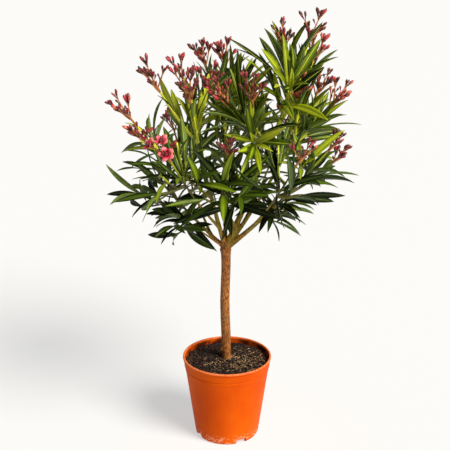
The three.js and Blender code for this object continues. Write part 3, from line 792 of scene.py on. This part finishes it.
def stem_bark():
    """Smooth tan bark with fine cracks and pale pores, turning olive and then green up the boughs."""
    finish = Finish("stem_bark", (150, 88, 36), 0.62, 0.25)
    height = finish.part(2)
    grain = finish.noise(300, stretch=(1, 1, 0.42), detail=6)
    patches = finish.noise(34, stretch=(1, 1, 0.5))
    tan = finish.mix(grain.step(0.3, 0.72), (88, 48, 16), (178, 108, 44))
    tan = finish.mix(patches.step(0.5, 0.75) * 0.5, tan, (118, 88, 46))
    olive = finish.mix(grain.step(0.3, 0.7), (98, 80, 20), (160, 136, 36))
    above = (height + patches * 0.1).step(0.54, 0.6)
    colour = finish.mix(above, tan, olive)
    green = (height + patches * 0.1).step(0.66, 0.8)
    colour = finish.mix(green, colour, (136, 150, 36))
    pores = 1 - finish.cells(300, stretch=(1, 1, 0.8)).step(0.12, 0.24)
    spotted = pores * finish.noise(120).step(0.5, 0.62)
    colour = finish.mix(spotted * 0.7, colour, (214, 186, 150))
    finish.give("Base Color", colour)
    finish.give("Roughness", 0.5 + grain * 0.25)
    finish.relief(grain + spotted * 0.6, 0.0006, 0.8)
    return finish.material


def dark_compost():
    finish = Finish("dark_compost", (34, 22, 15), 0.95, 0.15)
    crumbs = finish.noise(260, detail=6)
    broad = finish.noise(45)
    colour = finish.mix(crumbs.step(0.35, 0.68), (6, 3, 2), (42, 22, 12))
    colour = finish.mix(broad.step(0.5, 0.7) * 0.5, colour, (36, 27, 14))
    finish.give("Base Color", colour)
    finish.relief(crumbs, 0.002, 1.0)
    return finish.material


def bit(name, dark, light):
    """Finish of chips, fibres and crumbs that lie on the compost."""
    finish = Finish(name, dark, 0.85)
    finish.give("Base Color", finish.mix(finish.noise(420).step(0.35, 0.65), dark, light))
    return finish.material


def plain(*values):
    return Finish(*values).material


# Greens of a leaf's upper face, darkest to lightest: besides the leaves' own range, the darkest carry
# painted shade and the lightest painted light, as a leaf's height and place in the crown pick them
LEAF_TOPS = [
    plain("leaf_deep", (14, 23, 2), 0.5, 0.08),
    plain("leaf_dark", (30, 44, 3), 0.46, 0.15),
    plain("leaf_green", (66, 88, 5), 0.42, 0.2),
    plain("leaf_mid", (108, 125, 10), 0.38, 0.28),
    plain("leaf_fresh", (144, 156, 18), 0.38, 0.3),
    plain("leaf_bright", (174, 181, 36), 0.37, 0.32),
    plain("leaf_young", (204, 208, 60), 0.37, 0.32),
]
LEAF_UNDERS = [
    plain("underside_grey", (64, 80, 34), 0.6, 0.25),
    plain("underside_green", (80, 100, 36), 0.58, 0.25),
    plain("underside_light", (110, 130, 52), 0.58, 0.25),
]
RIBS = [
    plain("rib_dark", (58, 72, 16), 0.5),
    plain("rib_pale", (136, 156, 54), 0.5),
    plain("rib_yellow", (204, 212, 70), 0.5),
]
LEAF_FINISHES = LEAF_TOPS + LEAF_UNDERS + RIBS
# Shoot colours: low down the olive is partly painted shade, and high up the yellow is partly painted light
TWIG_FINISHES = [
    plain("twig_olive", (92, 90, 24), 0.55),
    plain("twig_green", (152, 160, 32), 0.5),
    plain("twig_yellow", (222, 222, 52), 0.48),
    plain("twig_red", (184, 116, 54), 0.5),
]
OLIVE, GREEN, YELLOW, RED = range(len(TWIG_FINISHES))
BLOSSOM_FINISHES = [
    plain("stalk_red", (180, 110, 56), 0.5),
    plain("stalk_brown", (144, 92, 48), 0.5),
    plain("cup_dark", (90, 48, 28), 0.5),
    plain("bud_maroon", (96, 44, 34), 0.45),
    plain("bud_deep", (126, 44, 40), 0.42),
    plain("bud_crimson", (182, 50, 58), 0.42),
    plain("bud_coral", (206, 106, 80), 0.45),
    plain("petal_pink", (222, 70, 88), 0.5),
    plain("petal_light", (236, 120, 126), 0.5),
]
STALKS, BROWN, CUP, MAROON, DEEP, CRIMSON, CORAL, PINK, LIGHT = range(len(BLOSSOM_FINISHES))


def finish_piece(piece, slot, *nodes):
    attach(piece, "root")
    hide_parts(*nodes)


def link(name, data):
    piece = bpy.data.objects.new(name, data)
    bpy.context.scene.collection.objects.link(piece)
    return piece


def apply_modifiers(piece):
    """Works the piece's modifiers into its mesh."""
    graph = bpy.context.evaluated_depsgraph_get()
    mesh = bpy.data.meshes.new_from_object(piece.evaluated_get(graph))
    piece.modifiers.clear()
    piece.data = mesh


class Batch:
    """Many small closed shapes of one kind, joined into one mesh."""

    def __init__(self, name, finishes):
        self.name = name
        self.finishes = finishes
        self.points = []
        self.faces = []
        self.slots = []
        self.count = 0

    def loft(self, rings, slot=0):
        """A closed skin through rings of points. slot is a finish's number or finds it by ring and side."""
        slot_of = slot if callable(slot) else lambda i, k: slot
        stations, sides = rings.shape[:2]
        self.points.append(rings.reshape(-1, 3))
        base = self.count
        for i in range(stations - 1):
            for k in range(sides):
                a = base + i * sides + k
                b = base + i * sides + (k + 1) % sides
                self.faces.append((a, b, b + sides, a + sides))
                self.slots.append(slot_of(i, k))
        last = base + (stations - 1) * sides
        self.faces.append(tuple(base + k for k in reversed(range(sides))))
        self.faces.append(tuple(last + k for k in range(sides)))
        self.slots += [slot_of(0, 0), slot_of(stations - 2, 0)]
        self.count += stations * sides

    def tube(self, points, radii, sides, slot=0):
        self.loft(tube_rings(points, radii, sides), slot)

    def build(self):
        mesh = bpy.data.meshes.new(self.name)
        mesh.from_pydata(np.concatenate(self.points) * MM, [], self.faces)
        for finish in self.finishes:
            mesh.materials.append(finish)
        mesh.polygons.foreach_set("material_index", self.slots)
        mesh.shade_smooth()
        mesh.update()
        return link(self.name, mesh)


def tube_rings(points, radii, sides, twist=0.0):
    """Rings round a path. Their faces turn outwards when the path runs forwards."""
    tangents = unit(np.gradient(points, axis=0))
    side = np.cross(tangents[0], [0.31, 0.87, 0.38])
    turns = np.arange(sides) * 2 * math.pi / sides
    rings = []
    for i, (point, tangent, radius) in enumerate(zip(points, tangents, radii)):
        side = unit(side - tangent * np.dot(side, tangent))
        third = np.cross(tangent, side)
        turn = turns + twist * i
        ring = np.cos(turn)[:, None] * side + np.sin(turn)[:, None] * third
        rings.append(point + ring * np.reshape(radius, (-1, 1)))
    return np.array(rings)


def blade_rings(root, aim, across, length, half_widths, stations, arch, sag, fold, twist, thickness):
    """Rings of a thin blade that arches up, sags towards its tip, folds along its rib and twists."""
    upper = np.cross(aim, across)
    s = stations[:, None]
    path = root + aim * length * s + upper * arch * 4 * s * (1 - s) - UP * sag * s**2
    tangents = unit(np.gradient(path, axis=0))
    sides = unit(across - tangents * (tangents @ across)[:, None])
    ups = np.cross(tangents, sides)
    turn = (twist * stations)[:, None]
    sides, ups = sides * np.cos(turn) + ups * np.sin(turn), ups * np.cos(turn) - sides * np.sin(turn)
    out = BLADE_ACROSS[None] * half_widths[:, None]
    lift = np.abs(out) * fold - BLADE_UNDER[None] * thickness[:, None]
    return path[:, None] + sides[:, None] * out[..., None] + ups[:, None] * lift[..., None]


def leaf_half_widths(width):
    return np.maximum(width / 2 * LEAF_SHAPE / LEAF_SHAPE.max(), LEAF_LEAST)


def painted_leaf_light(place):
    """How many steps lighter or darker a leaf is painted for how light falls on it: painted light high up,
    on the crown's lit skirt and far out, painted shade in the middle and inside of the crown, and less
    painted light at the very top.
    """
    height = place[2]
    light = (height - SHADE_MIDDLE) / SHADE_RISE + max(0, LIT_BELOW - height) / SHADE_RISE * SKIRT_LIGHT
    most = SHADE_MOST - max(0, height - DULL_ABOVE) / DULL_RISE
    return min(most, max(SHADE_LEAST, light) + OUTER_LIGHT * (outness(place) - LIT_FROM))


def leaf_finishes(leaf, spray_shade, draw):
    """The finishes of a leaf's strips and of its rib, and how many of its rings are stalk."""
    middle = leaf.root + leaf.aim * leaf.length / 2
    varied = SHADE_VARIES * (draw() - 0.5) - SHADE_WITH_AGE * leaf.age
    # Painted light and shade for the leaf's place in the crown are added to its own green
    shade = round(spray_shade + varied + painted_leaf_light(middle))
    shade = min(max(shade, 0), len(LEAF_TOPS) - 1)
    edge = max(shade - 1, 0) if draw() < DARK_EDGES else shade
    under = len(LEAF_TOPS) + min(len(LEAF_UNDERS) - 1, int(len(LEAF_UNDERS) * draw()))
    high = middle[2] > YELLOW_ABOVE
    # Lower in the crown the rib darkens with its blade's green, so it carries the blade's painted shade too
    tone = 2 if high else min(2, max(0, shade - 1 + int(2 * draw())) // 2)
    rib = len(LEAF_TOPS) + len(LEAF_UNDERS) + tone
    return [edge, shade, rib, shade, edge, under, under, rib, under, under], rib, 2 if high else 1


def add_leaf(batch, leaf, draw, spray_shade):
    strips, rib, stalk_rings = leaf_finishes(leaf, spray_shade, draw)
    rings = blade_rings(
        leaf.root + leaf.aim * LEAF_FOOT,
        leaf.aim,
        leaf.across,
        leaf.length - LEAF_FOOT,
        leaf_half_widths(leaf.width),
        LEAF_STATIONS,
        arch=leaf.arch + ARCH_MORE * draw(),
        sag=leaf.length * (BLADE_SAG + (BLADE_SAG_MORE + BLADE_SAG_WITH_AGE * leaf.age) * draw()),
        fold=drawn(LEAF_FOLD, draw),
        twist=LEAF_TWIST * (draw() - 0.5),
        thickness=LEAF_THICKNESS,
    )
    batch.loft(rings, lambda i, k: rib if i < stalk_rings else strips[k])


def add_twig(batch, shoot):
    """A shoot's stem: olive low in the crown, then green, then yellow, and red where flowers begin. The
    change with height is partly the shoot's own ageing and partly painted shade low down and painted light
    high up.
    """
    shares = np.linspace(0, 1, 14)
    radii = shoot.radius + (SHOOT_TIP - shoot.radius) * shares
    radii = radii * (1 + NODE_SWELL * np.sin(shares * shoot.line.length / NODE_SPACING))
    leafless = shoot.leaf_top + BARE_FROM
    path = shoot.line.point(shares)

    def slot(i, k):
        height = path[i][2]
        if shares[i] > leafless + STALK_GREEN * (1 - leafless):
            return RED
        if height < OLIVE_BELOW:
            return OLIVE
        return GREEN if height < GREEN_BELOW else YELLOW

    batch.tube(path, radii, 8, slot)


def add_bud(batch, root, aim, length, radius, colour):
    """A furled bud on a dark cup: five twisted folds from a slender throat to a pointed tip."""
    path = root + aim * length * BUD_SHARES[:, None]
    radii = BUD_SHAPE[:, None] * radius * BUD_RIDGES[None]
    rings = tube_rings(path, radii, len(BUD_RIDGES), twist=BUD_TWIST)
    tip = MAROON if colour < CORAL else CRIMSON
    batch.loft(rings, lambda i, k: CUP if i == 0 else colour if i < BUD_TIP_RING else tip)
    batch.tube(root + aim * CUP_PLACES[:, None], radius * CUP_SHAPE, 6, CUP)


def add_stalk(batch, start, end, radius, bend=0.06, slot=STALKS):
    line = Line(start, end, bend)
    shares = np.linspace(0, 1, 5)
    batch.tube(line.point(shares), radius * (1 - STALK_TAPER * shares), 5, slot)


def outward(turn, rise):
    return np.array([math.cos(turn), math.sin(turn), rise])


def add_flower(batch, root, aim, size, draw):
    """An open flower: a funnel throat and five overlapping petals that spread like a pinwheel."""
    throat = root + aim * THROAT_PLACES[:, None] * size
    batch.tube(throat, THROAT_RADII * size, 10, CORAL)
    side = unit(np.cross(aim, [0.2, 0.7, 0.5]))
    for k in range(PETALS):
        turn = 2 * math.pi * k / PETALS + PETAL_JITTER * draw()
        out = rotated(side, aim, turn)
        petal_aim = unit(out + aim * drawn(PETAL_SPREAD, draw))
        rings = blade_rings(
            root + aim * PETAL_UP * size + out * PETAL_OUT * size,
            petal_aim,
            unit(np.cross(aim, petal_aim)),
            PETAL_LENGTH * size,
            PETAL_HALF_WIDTH * size * PETAL_SHAPE,
            PETAL_STATIONS,
            arch=2.5,
            sag=1,
            fold=-0.12,
            twist=0.5,
            thickness=PETAL_THICKNESS,
        )
        batch.loft(rings, lambda i, k: LIGHT if i > PETAL_TIP_RING else PINK)


def add_fork(batch, start, aim, turn, size, colour, draw):
    """Short stalks that part at a node, each with a bud. The first runs on, and its bud is the largest."""
    for j in range(FORK_BUDS):
        around = turn + math.radians(360 / FORK_BUDS * j + FORK_JITTER * (draw() - 0.5))
        ahead = FORK_AHEAD if j else FIRST_AHEAD
        away = unit(outward(around, FORK_RISE) * drawn(FORK_OUT, draw) + aim * ahead)
        reach = FORK_STALK * drawn(FORK_VARIES, draw)
        end = start + away * reach
        add_stalk(batch, start, end, FORK_RADIUS, slot=BROWN if draw() < BROWN_STALKS else STALKS)
        grown = size * (1 if j == 0 else drawn(SMALL_BUD, draw))
        shade = colour + int(3 * draw()) - (1 if grown > RIPE_SIZE else 2)
        add_bud(batch, end, away, BUD_LENGTH * grown, BUD_RADIUS * grown, min(CORAL, max(MAROON, shade)))


def add_side_bud(batch, start, ray, turn, draw):
    """A small bud on a short stalk beside a ray."""
    aim = unit(outward(turn + SIDE_BUD_TURN + draw(), SIDE_BUD_RISE) + ray)
    end = start + aim * SIDE_STALK
    add_stalk(batch, start, end, SIDE_STALK_RADIUS)
    add_bud(batch, end, aim, BUD_LENGTH * SIDE_BUD_LENGTH, BUD_RADIUS * SIDE_BUD_WIDTH, DEEP)


def add_flower_head(batch, line, bloom, draw, open_flowers):
    """Rays from a stalk's top, each with a fork of buds at its end and one small bud beside it."""
    aim = line.tangent(1)
    top = line.point(1)
    ripe = DEEP if draw() < 0.5 else CRIMSON
    for k in range(RAYS if top[2] > SMALL_HEADS_BELOW else LOW_RAYS):
        turn = math.radians(360 / RAYS * k * 2 + RAY_JITTER * draw())
        lean = FIRST_LEAN if k == 0 else drawn(RAY_LEAN, draw)
        ray = unit(outward(turn, 0) * lean + aim)
        reach = RAY * min(1, bloom) * drawn(RAY_VARIES, draw)
        foot = top - aim * (RAY_START + RAY_STEP * k)
        end = foot + ray * reach
        add_stalk(batch, foot, end, RAY_RADIUS, bend=RAY_BEND)
        if k < open_flowers:
            add_flower(batch, end, ray, FLOWER_SIZE, draw)
        add_fork(batch, end, ray, turn, drawn(BUD_SIZE, draw), ripe, draw)
        add_side_bud(batch, Line(foot, end, RAY_BEND).point(SIDE_BUD_PLACE), ray, turn, draw)


def dress_mass(crown, row):
    """Leaves, twigs and blossom of one mass, each kind in one piece."""
    draw = seeded(row.seed * 7 + 3)
    leaves = Batch(f"leaves_{row.name}", LEAF_FINISHES)
    twigs = Batch(f"twigs_{row.name}", TWIG_FINISHES)
    blossom = Batch(f"blossom_{row.name}", BLOSSOM_FINISHES)
    shades = [drawn(SPRAY_SHADE, draw) for _ in crown.shoots[row.name]]
    for leaf in crown.leaves[row.name]:
        add_leaf(leaves, leaf, draw, shades[leaf.spray])
    used = {leaf.spray for leaf in crown.leaves[row.name]}
    for spray, shoot in enumerate(crown.shoots[row.name]):
        if spray in used or not shoot.young:
            add_twig(twigs, shoot)
        if shoot.bloom:
            flowers = OPEN_FLOWERS.get(row.name, 0) if spray == 0 else 0
            add_flower_head(blossom, shoot.line, shoot.bloom, draw, flowers)
    for batch in (leaves, twigs, blossom):
        if batch.points:
            finish_piece(batch.build(), "foliage", f"foliage_{row.name}")


def wood_tubes(crown):
    """Stem, dome over the fork, stub, knot and boughs, as tubes that run into one another."""
    wood = Batch("bark", [])
    shares = np.linspace(0, 1, 90)
    wood.tube(stem_point(shares), stem_radius(shares), 28)
    dome = np.linspace(0, 1, 7)
    rise = FORK - UP * DOME_SUNK + UP * DOME_HEIGHT * dome[:, None]
    wood.tube(rise, DOME_RADIUS * np.sqrt(1.02 - dome**2), 24)
    stub = FORK + STUB_REACH * np.linspace(0, 1, 5)[:, None]
    wood.tube(stub, np.linspace(*STUB_RADII, 5), 14)
    knot = stem_point(np.array(KNOT_PLACE)) + [KNOT_SUNK - stem_radius(KNOT_PLACE), -KNOT_FORWARD, 0]
    wood.tube(knot + UP * np.linspace(-KNOT_RISE, KNOT_RISE, 6)[:, None], KNOT_RADII, 10)
    for row in GROWTH:
        line = crown.lines[row.name]
        shares = np.linspace(0, BOUGH_SHARE, 26)
        radii = row.radius * (1 - BOUGH_TAPER * shares / BOUGH_SHARE)
        collar = 1 + COLLAR_SWELL * np.exp(-shares * line.length / COLLAR_LENGTH)
        wood.tube(line.point(shares), radii * collar, 14)
    return wood.build()


def make_wood(crown):
    """Stem and boughs, grown together at the fork and given the bark's relief."""
    piece = wood_tubes(crown)
    remesh = piece.modifiers.new("grown_together", "REMESH")
    remesh.mode = "VOXEL"
    remesh.voxel_size = BARK_GRID * MM
    remesh.use_smooth_shade = True
    smooth = piece.modifiers.new("soft_joins", "SMOOTH")
    smooth.factor = 0.5
    smooth.iterations = 3
    apply_modifiers(piece)
    carve_bark(piece.data)
    piece.data.materials.append(stem_bark())
    finish_piece(piece, "bark", "trunk", *[f"bough_{row.name}" for row in GROWTH])


def bark_height(x, y, z):
    """Upright ridges, soft lumps, and low rings where old leaves stood."""
    ridges = noise.noise(Vector((x * 0.32, y * 0.32, z * 0.045)))
    lumps = noise.noise(Vector((x * 0.05, y * 0.05, z * 0.06 + 9)))
    ring = math.exp(-((((z + 5 * lumps) % RING_SPACING) - RING_SPACING // 2) / RING_THICKNESS) ** 2)
    return RIDGE_HEIGHT * ridges + LUMP_HEIGHT * lumps + RING_HEIGHT * ring


def carve_bark(mesh):
    """Moves the skin out and in by the bark's relief, which fades out at the foot of the stem."""
    places = np.empty(len(mesh.vertices) * 3)
    mesh.vertices.foreach_get("co", places)
    places = places.reshape(-1, 3)
    normals = np.array([vertex.normal for vertex in mesh.vertices])
    heights = np.array([bark_height(x, y, z) for x, y, z in places / MM])
    fade = np.clip((places[:, 2] / MM - STEM_FOOT) / RELIEF_FADE, 0, 1)
    moved = places + normals * (heights * fade * MM)[:, None]
    mesh.vertices.foreach_set("co", moved.ravel())
    mesh.update()


def wall_radius(height):
    band_radius = RIM_RADIUS - LIP_WIDTH - BAND_STEP
    return BASE_RADIUS + (band_radius - BASE_RADIUS) * height / (POT_HEIGHT - BAND_HEIGHT)


def inner_radius(height):
    band = POT_HEIGHT - BAND_HEIGHT
    share = max(0, height - band) / BAND_HEIGHT
    return wall_radius(min(height, band)) - WALL + BAND_STEP * share


def inside_profile(clearance):
    low = WALL + clearance
    high = CHANNEL_RISE + low
    band = POT_HEIGHT - BAND_HEIGHT
    return [
        (0, low),
        (CHANNEL_INNER - clearance, low),
        (CHANNEL_INNER + WALL - clearance, high),
        (inner_radius(high) - FLOOR_ROUND / 2 - clearance, high),
        (inner_radius(high + FLOOR_ROUND) - clearance, high + FLOOR_ROUND),
        (inner_radius(band) - clearance, band),
    ]


def rounded(profile, radius, steps):
    """The profile with each corner replaced by a short curve."""
    points = [profile[0]]
    for before, corner, after in zip(profile, profile[1:], profile[2:]):
        before, corner, after = (np.array(each, float) for each in (before, corner, after))
        reach_in = min(radius, np.linalg.norm(before - corner) * 0.45)
        reach_out = min(radius, np.linalg.norm(after - corner) * 0.45)
        start = corner + unit(before - corner) * reach_in
        end = corner + unit(after - corner) * reach_out
        for t in np.linspace(0, 1, steps + 1):
            points.append(tuple((1 - t) ** 2 * start + 2 * t * (1 - t) * corner + t**2 * end))
    return points + [profile[-1]]


def turned(name, profile, sides):
    """A profile of radius and height, in millimetres, turned round the upright axis into a closed body."""
    shape = bmesh.new()
    rows = []
    for radius, height in profile:
        ring = [polar(360 * k / sides, radius, height) * MM for k in range(sides)]
        rows.append([shape.verts.new(place) for place in ring])
    for low, high in zip(rows, rows[1:]):
        for k in range(sides):
            j = (k + 1) % sides
            shape.faces.new((low[k], low[j], high[j], high[k]))
    bmesh.ops.remove_doubles(shape, verts=shape.verts, dist=1e-6)
    mesh = bpy.data.meshes.new(name)
    bmesh.ops.recalc_face_normals(shape, faces=shape.faces)
    shape.to_mesh(mesh)
    shape.free()
    mesh.shade_smooth()
    return link(name, mesh)


def pot_outline():
    band = POT_HEIGHT - BAND_HEIGHT
    shoulder = POT_HEIGHT - SHOULDER_HEIGHT
    band_radius = RIM_RADIUS - LIP_WIDTH
    ring = BASE_RADIUS - RING_WIDTH
    channel = [(0, 0), (CHANNEL_INNER, 0), (CHANNEL_INNER + WALL, CHANNEL_RISE)]
    foot = channel + [(ring, CHANNEL_RISE), (ring, 0)]
    edge = [
        (
            BASE_RADIUS - EDGE_ROUND / 2 * (1 - math.sin(math.radians(turn))),
            EDGE_ROUND * (1 - math.cos(math.radians(turn))),
        )
        for turn in range(0, 91, 15)
    ]
    rim = [
        (wall_radius(shoulder), shoulder),
        (wall_radius(shoulder) + SHOULDER_STEP, shoulder + CHAMFER),
        (wall_radius(band) + SHOULDER_STEP, band - CHAMFER),
        (wall_radius(band) - GROOVE, band),
        (band_radius - CHAMFER, band + CHAMFER),
        (band_radius, POT_HEIGHT - LIP_HEIGHT - CHAMFER),
        (RIM_RADIUS - GROOVE, POT_HEIGHT - LIP_HEIGHT),
        (RIM_RADIUS, POT_HEIGHT - CHAMFER),
        (RIM_RADIUS - CHAMFER / 2, POT_HEIGHT),
        (inner_radius(POT_HEIGHT) + CHAMFER / 2, POT_HEIGHT),
        (inner_radius(POT_HEIGHT - CHAMFER), POT_HEIGHT - CHAMFER),
    ]
    return foot + edge + rim + inside_profile(0)[::-1]


def make_pot():
    """The turned pot, with its drainage slots cut through the foot ring."""
    pot = turned("nursery_pot", rounded(pot_outline(), CORNER_ROUND, 3), POT_SIDES)
    blocks = slot_blocks()
    cut = pot.modifiers.new("slots", "BOOLEAN")
    cut.operation = "DIFFERENCE"
    cut.object = blocks
    cut.solver = "EXACT"
    apply_modifiers(pot)
    bpy.data.objects.remove(blocks)
    pot.data.set_sharp_from_angle(angle=math.radians(SHARP_ANGLE))
    pot.data.materials.clear()
    pot.data.materials.append(pot_plastic())
    finish_piece(pot, "pot", "pot")


def slot_blocks():
    """One rounded block for each drainage slot, to be cut out of the pot."""
    cutter = bmesh.new()
    size = (3 * RING_WIDTH * MM, SLOT_WIDTH * MM, 2 * SLOT_HEIGHT * MM)
    for heading in SLOT_HEADINGS:
        block = bmesh.ops.create_cube(cutter, size=1)["verts"]
        bmesh.ops.scale(cutter, verts=block, vec=size)
        bmesh.ops.translate(cutter, verts=block, vec=(BASE_RADIUS * MM, 0, 0))
        turn = Matrix.Rotation(math.radians(heading), 3, "Z")
        bmesh.ops.rotate(cutter, verts=block, cent=(0, 0, 0), matrix=turn)
    bmesh.ops.bevel(cutter, geom=cutter.edges[:], offset=SLOT_ROUND * MM, segments=3, affect="EDGES")
    mesh = bpy.data.meshes.new("slot_cutter")
    cutter.to_mesh(mesh)
    cutter.free()
    return link("slot_cutter", mesh)


def make_soil():
    """Compost to the pot's wall, with a rough mound. Two attributes say where bits lie on it."""
    rim = POT_HEIGHT - SOIL_BELOW_RIM
    edge = inner_radius(rim) - SOIL_GAP
    inward = [1 - k / SOIL_RINGS for k in range(SOIL_RINGS + 1)]
    mound = [(edge * share, rim + SOIL_MOUND * (1 - share**2)) for share in inward]
    soil = turned("compost", inside_profile(SOIL_GAP) + mound, SOIL_SIDES)
    cover = soil.data.attributes.new("cover", "FLOAT", "POINT")
    pale = soil.data.attributes.new("pale", "FLOAT", "POINT")
    for vertex in soil.data.vertices:
        x, y, z = vertex.co / MM
        if z > rim - SOIL_GAP:
            clear = ramp(edge - math.hypot(x, y), 0, SOIL_FADE)
            vertex.co.z += soil_height(x, y) * MM * clear
            cover.data[vertex.index].value = clear
            pale.data[vertex.index].value = clear * min(1, paleness(x, y))
    soil.data.materials.append(dark_compost())
    return soil


def soil_height(x, y):
    """Clods, lumps and crumbs on the mound."""
    return sum(noise.noise(Vector((x * close, y * close, seed))) * high for close, seed, high in SOIL_LUMPS)


def paleness(x, y):
    """How thickly pale fibres lie at a place."""
    return sum(
        strength * math.exp(-((x - right) ** 2 + (y - back) ** 2) / reach**2)
        for right, back, reach, strength in PALE_SPOTS
    )


def make_shape(name, rings):
    batch = Batch(name, [])
    batch.loft(rings)
    return batch.build()


def fibre_shape():
    shares = np.linspace(0, 1, 5)[:, None]
    path = np.hstack([shares * 10 - 5, np.sin(shares * 4) * 1.2, np.sin(shares * 3) * 1.6])
    return make_shape("fibre_shape", tube_rings(path, [0.15, 0.42, 0.45, 0.38, 0.12], 4))


def chip_shape():
    path = np.array([[-3.2, 0, 0], [-1.6, 0.2, 0.2], [1.4, -0.2, 0], [3.0, 0.2, -0.2]])
    rings = tube_rings(path, [0.6, 1.5, 1.3, 0.4], 5)
    rings[..., 2] *= 0.55
    return make_shape("chip_shape", rings)


def crumb_shape():
    path = np.array([[0, 0, -1.3], [0.1, 0, -0.6], [0, 0.2, 0.5], [0, 0, 1.2]])
    return make_shape("crumb_shape", tube_rings(path, [0.5, 1.5, 1.3, 0.5], 6))


# Inputs of the tree that strews bits, and their kinds
STREW_INPUTS = {
    "ground": "Geometry",
    "shape": "Object",
    "where": "String",
    "density": "Float",
    "smallest": "Float",
    "largest": "Float",
    "tilt": "Float",
    "seed": "Int",
    "finish": "Material",
}


def scatter_points(tree, given):
    """Points on the ground, as thick as the density times the named attribute."""
    name = {"Name": given["where"]}
    where = add_node(tree, "GeometryNodeInputNamedAttribute", {"data_type": "FLOAT"}, name)
    factors = {0: where["Attribute"], 1: given["density"]}
    density = add_node(tree, "ShaderNodeMath", {"operation": "MULTIPLY"}, factors)
    inputs = {"Mesh": given["ground"], "Density": density[0], "Seed": given["seed"]}
    return add_node(tree, "GeometryNodeDistributePointsOnFaces", {}, inputs)["Points"]


def scatter_turn(tree, given):
    """A tilt to any side and any turn round the upright axis."""
    back = add_node(tree, "ShaderNodeMath", {"operation": "MULTIPLY"}, {0: given["tilt"], 1: -1.0})
    low = add_node(tree, "ShaderNodeCombineXYZ", {}, {0: back[0], 1: back[0]})
    high = add_node(tree, "ShaderNodeCombineXYZ", {}, {0: given["tilt"], 1: given["tilt"], 2: 2 * math.pi})
    inputs = {0: low[0], 1: high[0], "Seed": given["seed"]}
    return add_node(tree, "FunctionNodeRandomValue", {"data_type": "FLOAT_VECTOR"}, inputs)[0]


def scatter_size(tree, given):
    inputs = {2: given["smallest"], 3: given["largest"], "Seed": given["seed"]}
    return add_node(tree, "FunctionNodeRandomValue", {"data_type": "FLOAT"}, inputs)[1]


def scatter_tree(name):
    """A node tree that strews copies of a shape over a ground, as thick as one of its attributes says."""
    tree = bpy.data.node_groups.new(name, "GeometryNodeTree")
    for socket, kind in STREW_INPUTS.items():
        tree.interface.new_socket(socket, in_out="INPUT", socket_type=f"NodeSocket{kind}")
    tree.interface.new_socket("Geometry", in_out="OUTPUT", socket_type="NodeSocketGeometry")
    given = tree.nodes.new("NodeGroupInput").outputs
    shape = add_node(tree, "GeometryNodeObjectInfo", {}, {"Object": given["shape"]})
    inputs = {
        "Points": scatter_points(tree, given),
        "Instance": shape["Geometry"],
        "Rotation": scatter_turn(tree, given),
        "Scale": scatter_size(tree, given),
    }
    copies = add_node(tree, "GeometryNodeInstanceOnPoints", {}, inputs)
    real = add_node(tree, "GeometryNodeRealizeInstances", {}, {"Geometry": copies[0]})
    finished = {"Geometry": real[0], "Material": given["finish"]}
    painted = add_node(tree, "GeometryNodeSetMaterial", {}, finished)
    tree.links.new(painted[0], tree.nodes.new("NodeGroupOutput").inputs[0])
    return tree


def strew(tree, ground, row, shape, seed):
    """One kind of bit strewn over the ground, as a piece of its own."""
    piece = link(row.name, ground.data.copy())
    modifier = piece.modifiers.new(row.name, "NODES")
    modifier.node_group = tree
    sockets = {item.name: item.identifier for item in tree.interface.items_tree if item.in_out == "INPUT"}
    finish = bit(row.name, row.dark, row.light)
    values = {**row._asdict(), "shape": shape, "seed": seed, "finish": finish}
    for key, value in values.items():
        if key in sockets:
            modifier[sockets[key]] = value
    apply_modifiers(piece)
    piece.data.shade_flat()
    finish_piece(piece, "soil", "soil")


def dress_soil(soil):
    """Crumbs, chips and fibres on the compost."""
    tree = scatter_tree("strewn_bits")
    shapes = {"fibre": fibre_shape(), "chip": chip_shape(), "crumb": crumb_shape()}
    for seed, row in enumerate(BITS, 1):
        strew(tree, soil, row, shapes[row.shape], seed)
    for shape in shapes.values():
        bpy.data.objects.remove(shape)
    finish_piece(soil, "soil", "soil")


def make_floor():
    """A pale floor that glows a little, like a lit backdrop."""
    floor = link("floor", bpy.data.meshes.new("floor"))
    corners = [(FLOOR * x, FLOOR * y, 0) for x, y in ((-1, -1), (1, -1), (1, 1), (-1, 1))]
    floor.data.from_pydata(corners, [], [(0, 1, 2, 3)])
    finish = Finish("pale_floor", (162, 162, 162), 0.9)
    finish.give("Emission Color", (1, 1, 1, 1))
    finish.give("Emission Strength", FLOOR_GLOW)
    floor.data.materials.append(finish.material)


def make_light():
    """Soft daylight from all round, and a broad key light from the right and the front."""
    world = bpy.data.worlds.new("daylight")
    bpy.context.scene.world = world
    world.use_nodes = True
    background = world.node_tree.nodes["Background"]
    background.inputs["Color"].default_value = (1, 1, 1, 1)
    background.inputs["Strength"].default_value = DAYLIGHT
    sun = bpy.data.lights.new("broad_sun", "SUN")
    sun.energy = SUN_STRENGTH
    sun.angle = math.radians(SUN_SPREAD)
    sun.color = SUN_COLOUR
    light = link("broad_sun", sun)
    light.rotation_euler = Vector(SUN_FROM).to_track_quat("Z", "Y").to_euler()
    bpy.context.scene.view_settings.view_transform = "Standard"


def make_camera():
    data = bpy.data.cameras.new("camera")
    data.sensor_width = SENSOR_WIDTH
    data.lens = FOCAL_PIXELS / FRAME_PIXELS * data.sensor_width
    camera = link("camera", data)
    camera.location = CAMERA_PLACE
    camera.rotation_euler = (math.radians(90 - CAMERA_DOWN), 0, 0)
    bpy.context.scene.camera = camera


make_camera()
make_floor()
make_light()
crown = Crown()
make_pot()
soil = make_soil()
dress_soil(soil)
make_wood(crown)
for row in GROWTH:
    dress_mass(crown, row)
